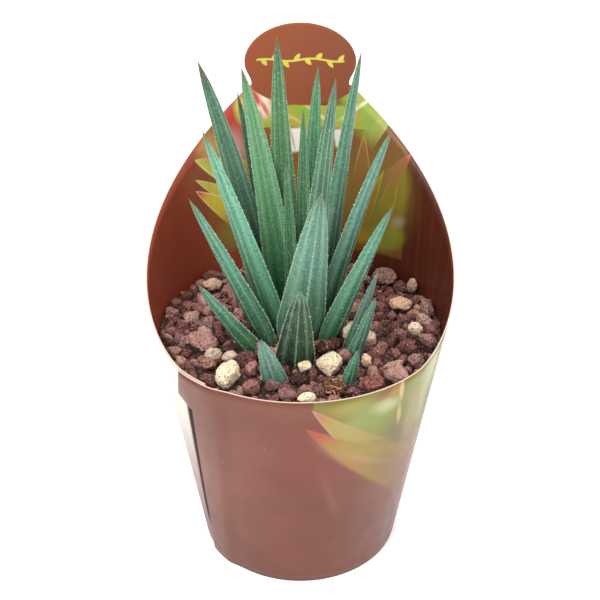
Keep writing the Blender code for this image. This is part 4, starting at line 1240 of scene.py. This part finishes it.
leaf_materials = [leaf_skin(), tubercle_skin()]
leaf_points = np.concatenate([build_leaf(name, leaf_materials) for name in LEAVES]) / MM
leaf_marks = leaf_points[np.abs(leaf_points[:, 2] - 73.5) < 2.0][:, :2]       # where leaves pass the bed

lava_skin, pumice_skin = stone_skin("lava_stone", False), stone_skin("pumice", True)
blocked = [build_stone(name, pumice_skin if name.startswith("pumice") else lava_skin, seed)
           for seed, name in enumerate(STONE_TONES)]
fibre = fibre_skin("coir_fibre", rgb(60, 34, 26), rgb(140, 90, 62), rgb(214, 168, 126))
peat = fibre_skin("peat", rgb(38, 22, 20), rgb(82, 50, 42), rgb(128, 90, 70))
blocked.append(build_lump("fibre_lump_centre", fibre, 110, 60, 1))
blocked.append(build_lump("fibre_lump_front", fibre, 120, 60, 2))
blocked.append(build_lump("peat_lump", peat, 40, 130, 3))
build_gravel(np.array(blocked), leaf_marks, stone_skin("gravel_stone", False))

refinish("nursery_pot", plain_skin("pot_plastic", rgb(44, 40, 39), rgb(58, 53, 50), 1.2, 0.42, 0.05))
refinish("root_ball", plain_skin("soil", rgb(66, 44, 36), rgb(34, 22, 18), 0.9, 0.85, 0.5))
refinish("crown", plain_skin("stem", rgb(132, 120, 84), rgb(96, 80, 58), 0.8, 0.6, 0.3))


# ---------------------------------------------------------------- stage, light and camera

def build_stage():
    """A pale floor, an even pale sky and three wide soft lamps."""
    made, g, shader = new_material("studio_floor", Roughness=0.8)
    tint = g.noise(g.place(), 0.004, 2.0, 0.5)
    g.feed(shader.inputs["Base Color"], g.mix(tint, rgb(246, 246, 246), rgb(250, 250, 250)))
    shader.inputs["Emission Color"].default_value = (1.0, 1.0, 1.0, 1.0)
    shader.inputs["Emission Strength"].default_value = 0.35
    corners = np.array([(-30.0, -30.0, 0.0), (30.0, -30.0, 0.0), (30.0, 30.0, 0.0), (-30.0, 30.0, 0.0)])
    piece("studio_floor", corners, [np.array([[0, 1, 2, 3]])], [made])
    world = bpy.data.worlds.new("studio")
    world.use_nodes = True
    back = world.node_tree.nodes["Background"]
    back.inputs["Color"].default_value = (1.0, 1.0, 1.0, 1.0)
    back.inputs["Strength"].default_value = 0.80
    bpy.context.scene.world = world
    lamps = (("key", (-0.55, -0.75, 0.95), 0.6, 8.5), ("fill", (0.9, -0.5, 0.6), 0.8, 2.0),
             ("top", (0.05, 0.25, 1.1), 0.7, 6.5))
    for name, spot, size, power in lamps:
        light = bpy.data.lights.new(name, "AREA")
        light.shape = "DISK"
        light.size = size
        light.energy = power
        lamp = bpy.data.objects.new(name, light)
        bpy.context.scene.collection.objects.link(lamp)
        lamp.location = spot
        lamp.rotation_euler = aim(spot, (0.0, 0.0, 0.08))


def aim(spot, target):
    """Rotation that points a camera or lamp from a spot to a target."""
    ahead = np.array(target, float) - np.array(spot, float)
    level = math.hypot(ahead[0], ahead[1])
    return (math.atan2(level, -ahead[2]), 0.0, math.atan2(-ahead[0], ahead[1]))


def build_camera():
    """The camera looks down at the pot's front from a quarter of a metre away."""
    lens = bpy.data.cameras.new("camera")
    lens.lens = 63.96
    lens.sensor_width = 36.0
    lens.clip_start = 0.01
    lens.clip_end = 20.0
    camera = bpy.data.objects.new("camera", lens)
    bpy.context.scene.collection.objects.link(camera)
    camera.location = (-0.0001, -0.2675, 0.2409)
    camera.rotation_euler = aim(camera.location, (-0.0001, 0.0, 0.0817))
    bpy.context.scene.camera = camera


build_stage()
build_camera()
bpy.context.scene.view_settings.view_transform = "Standard"
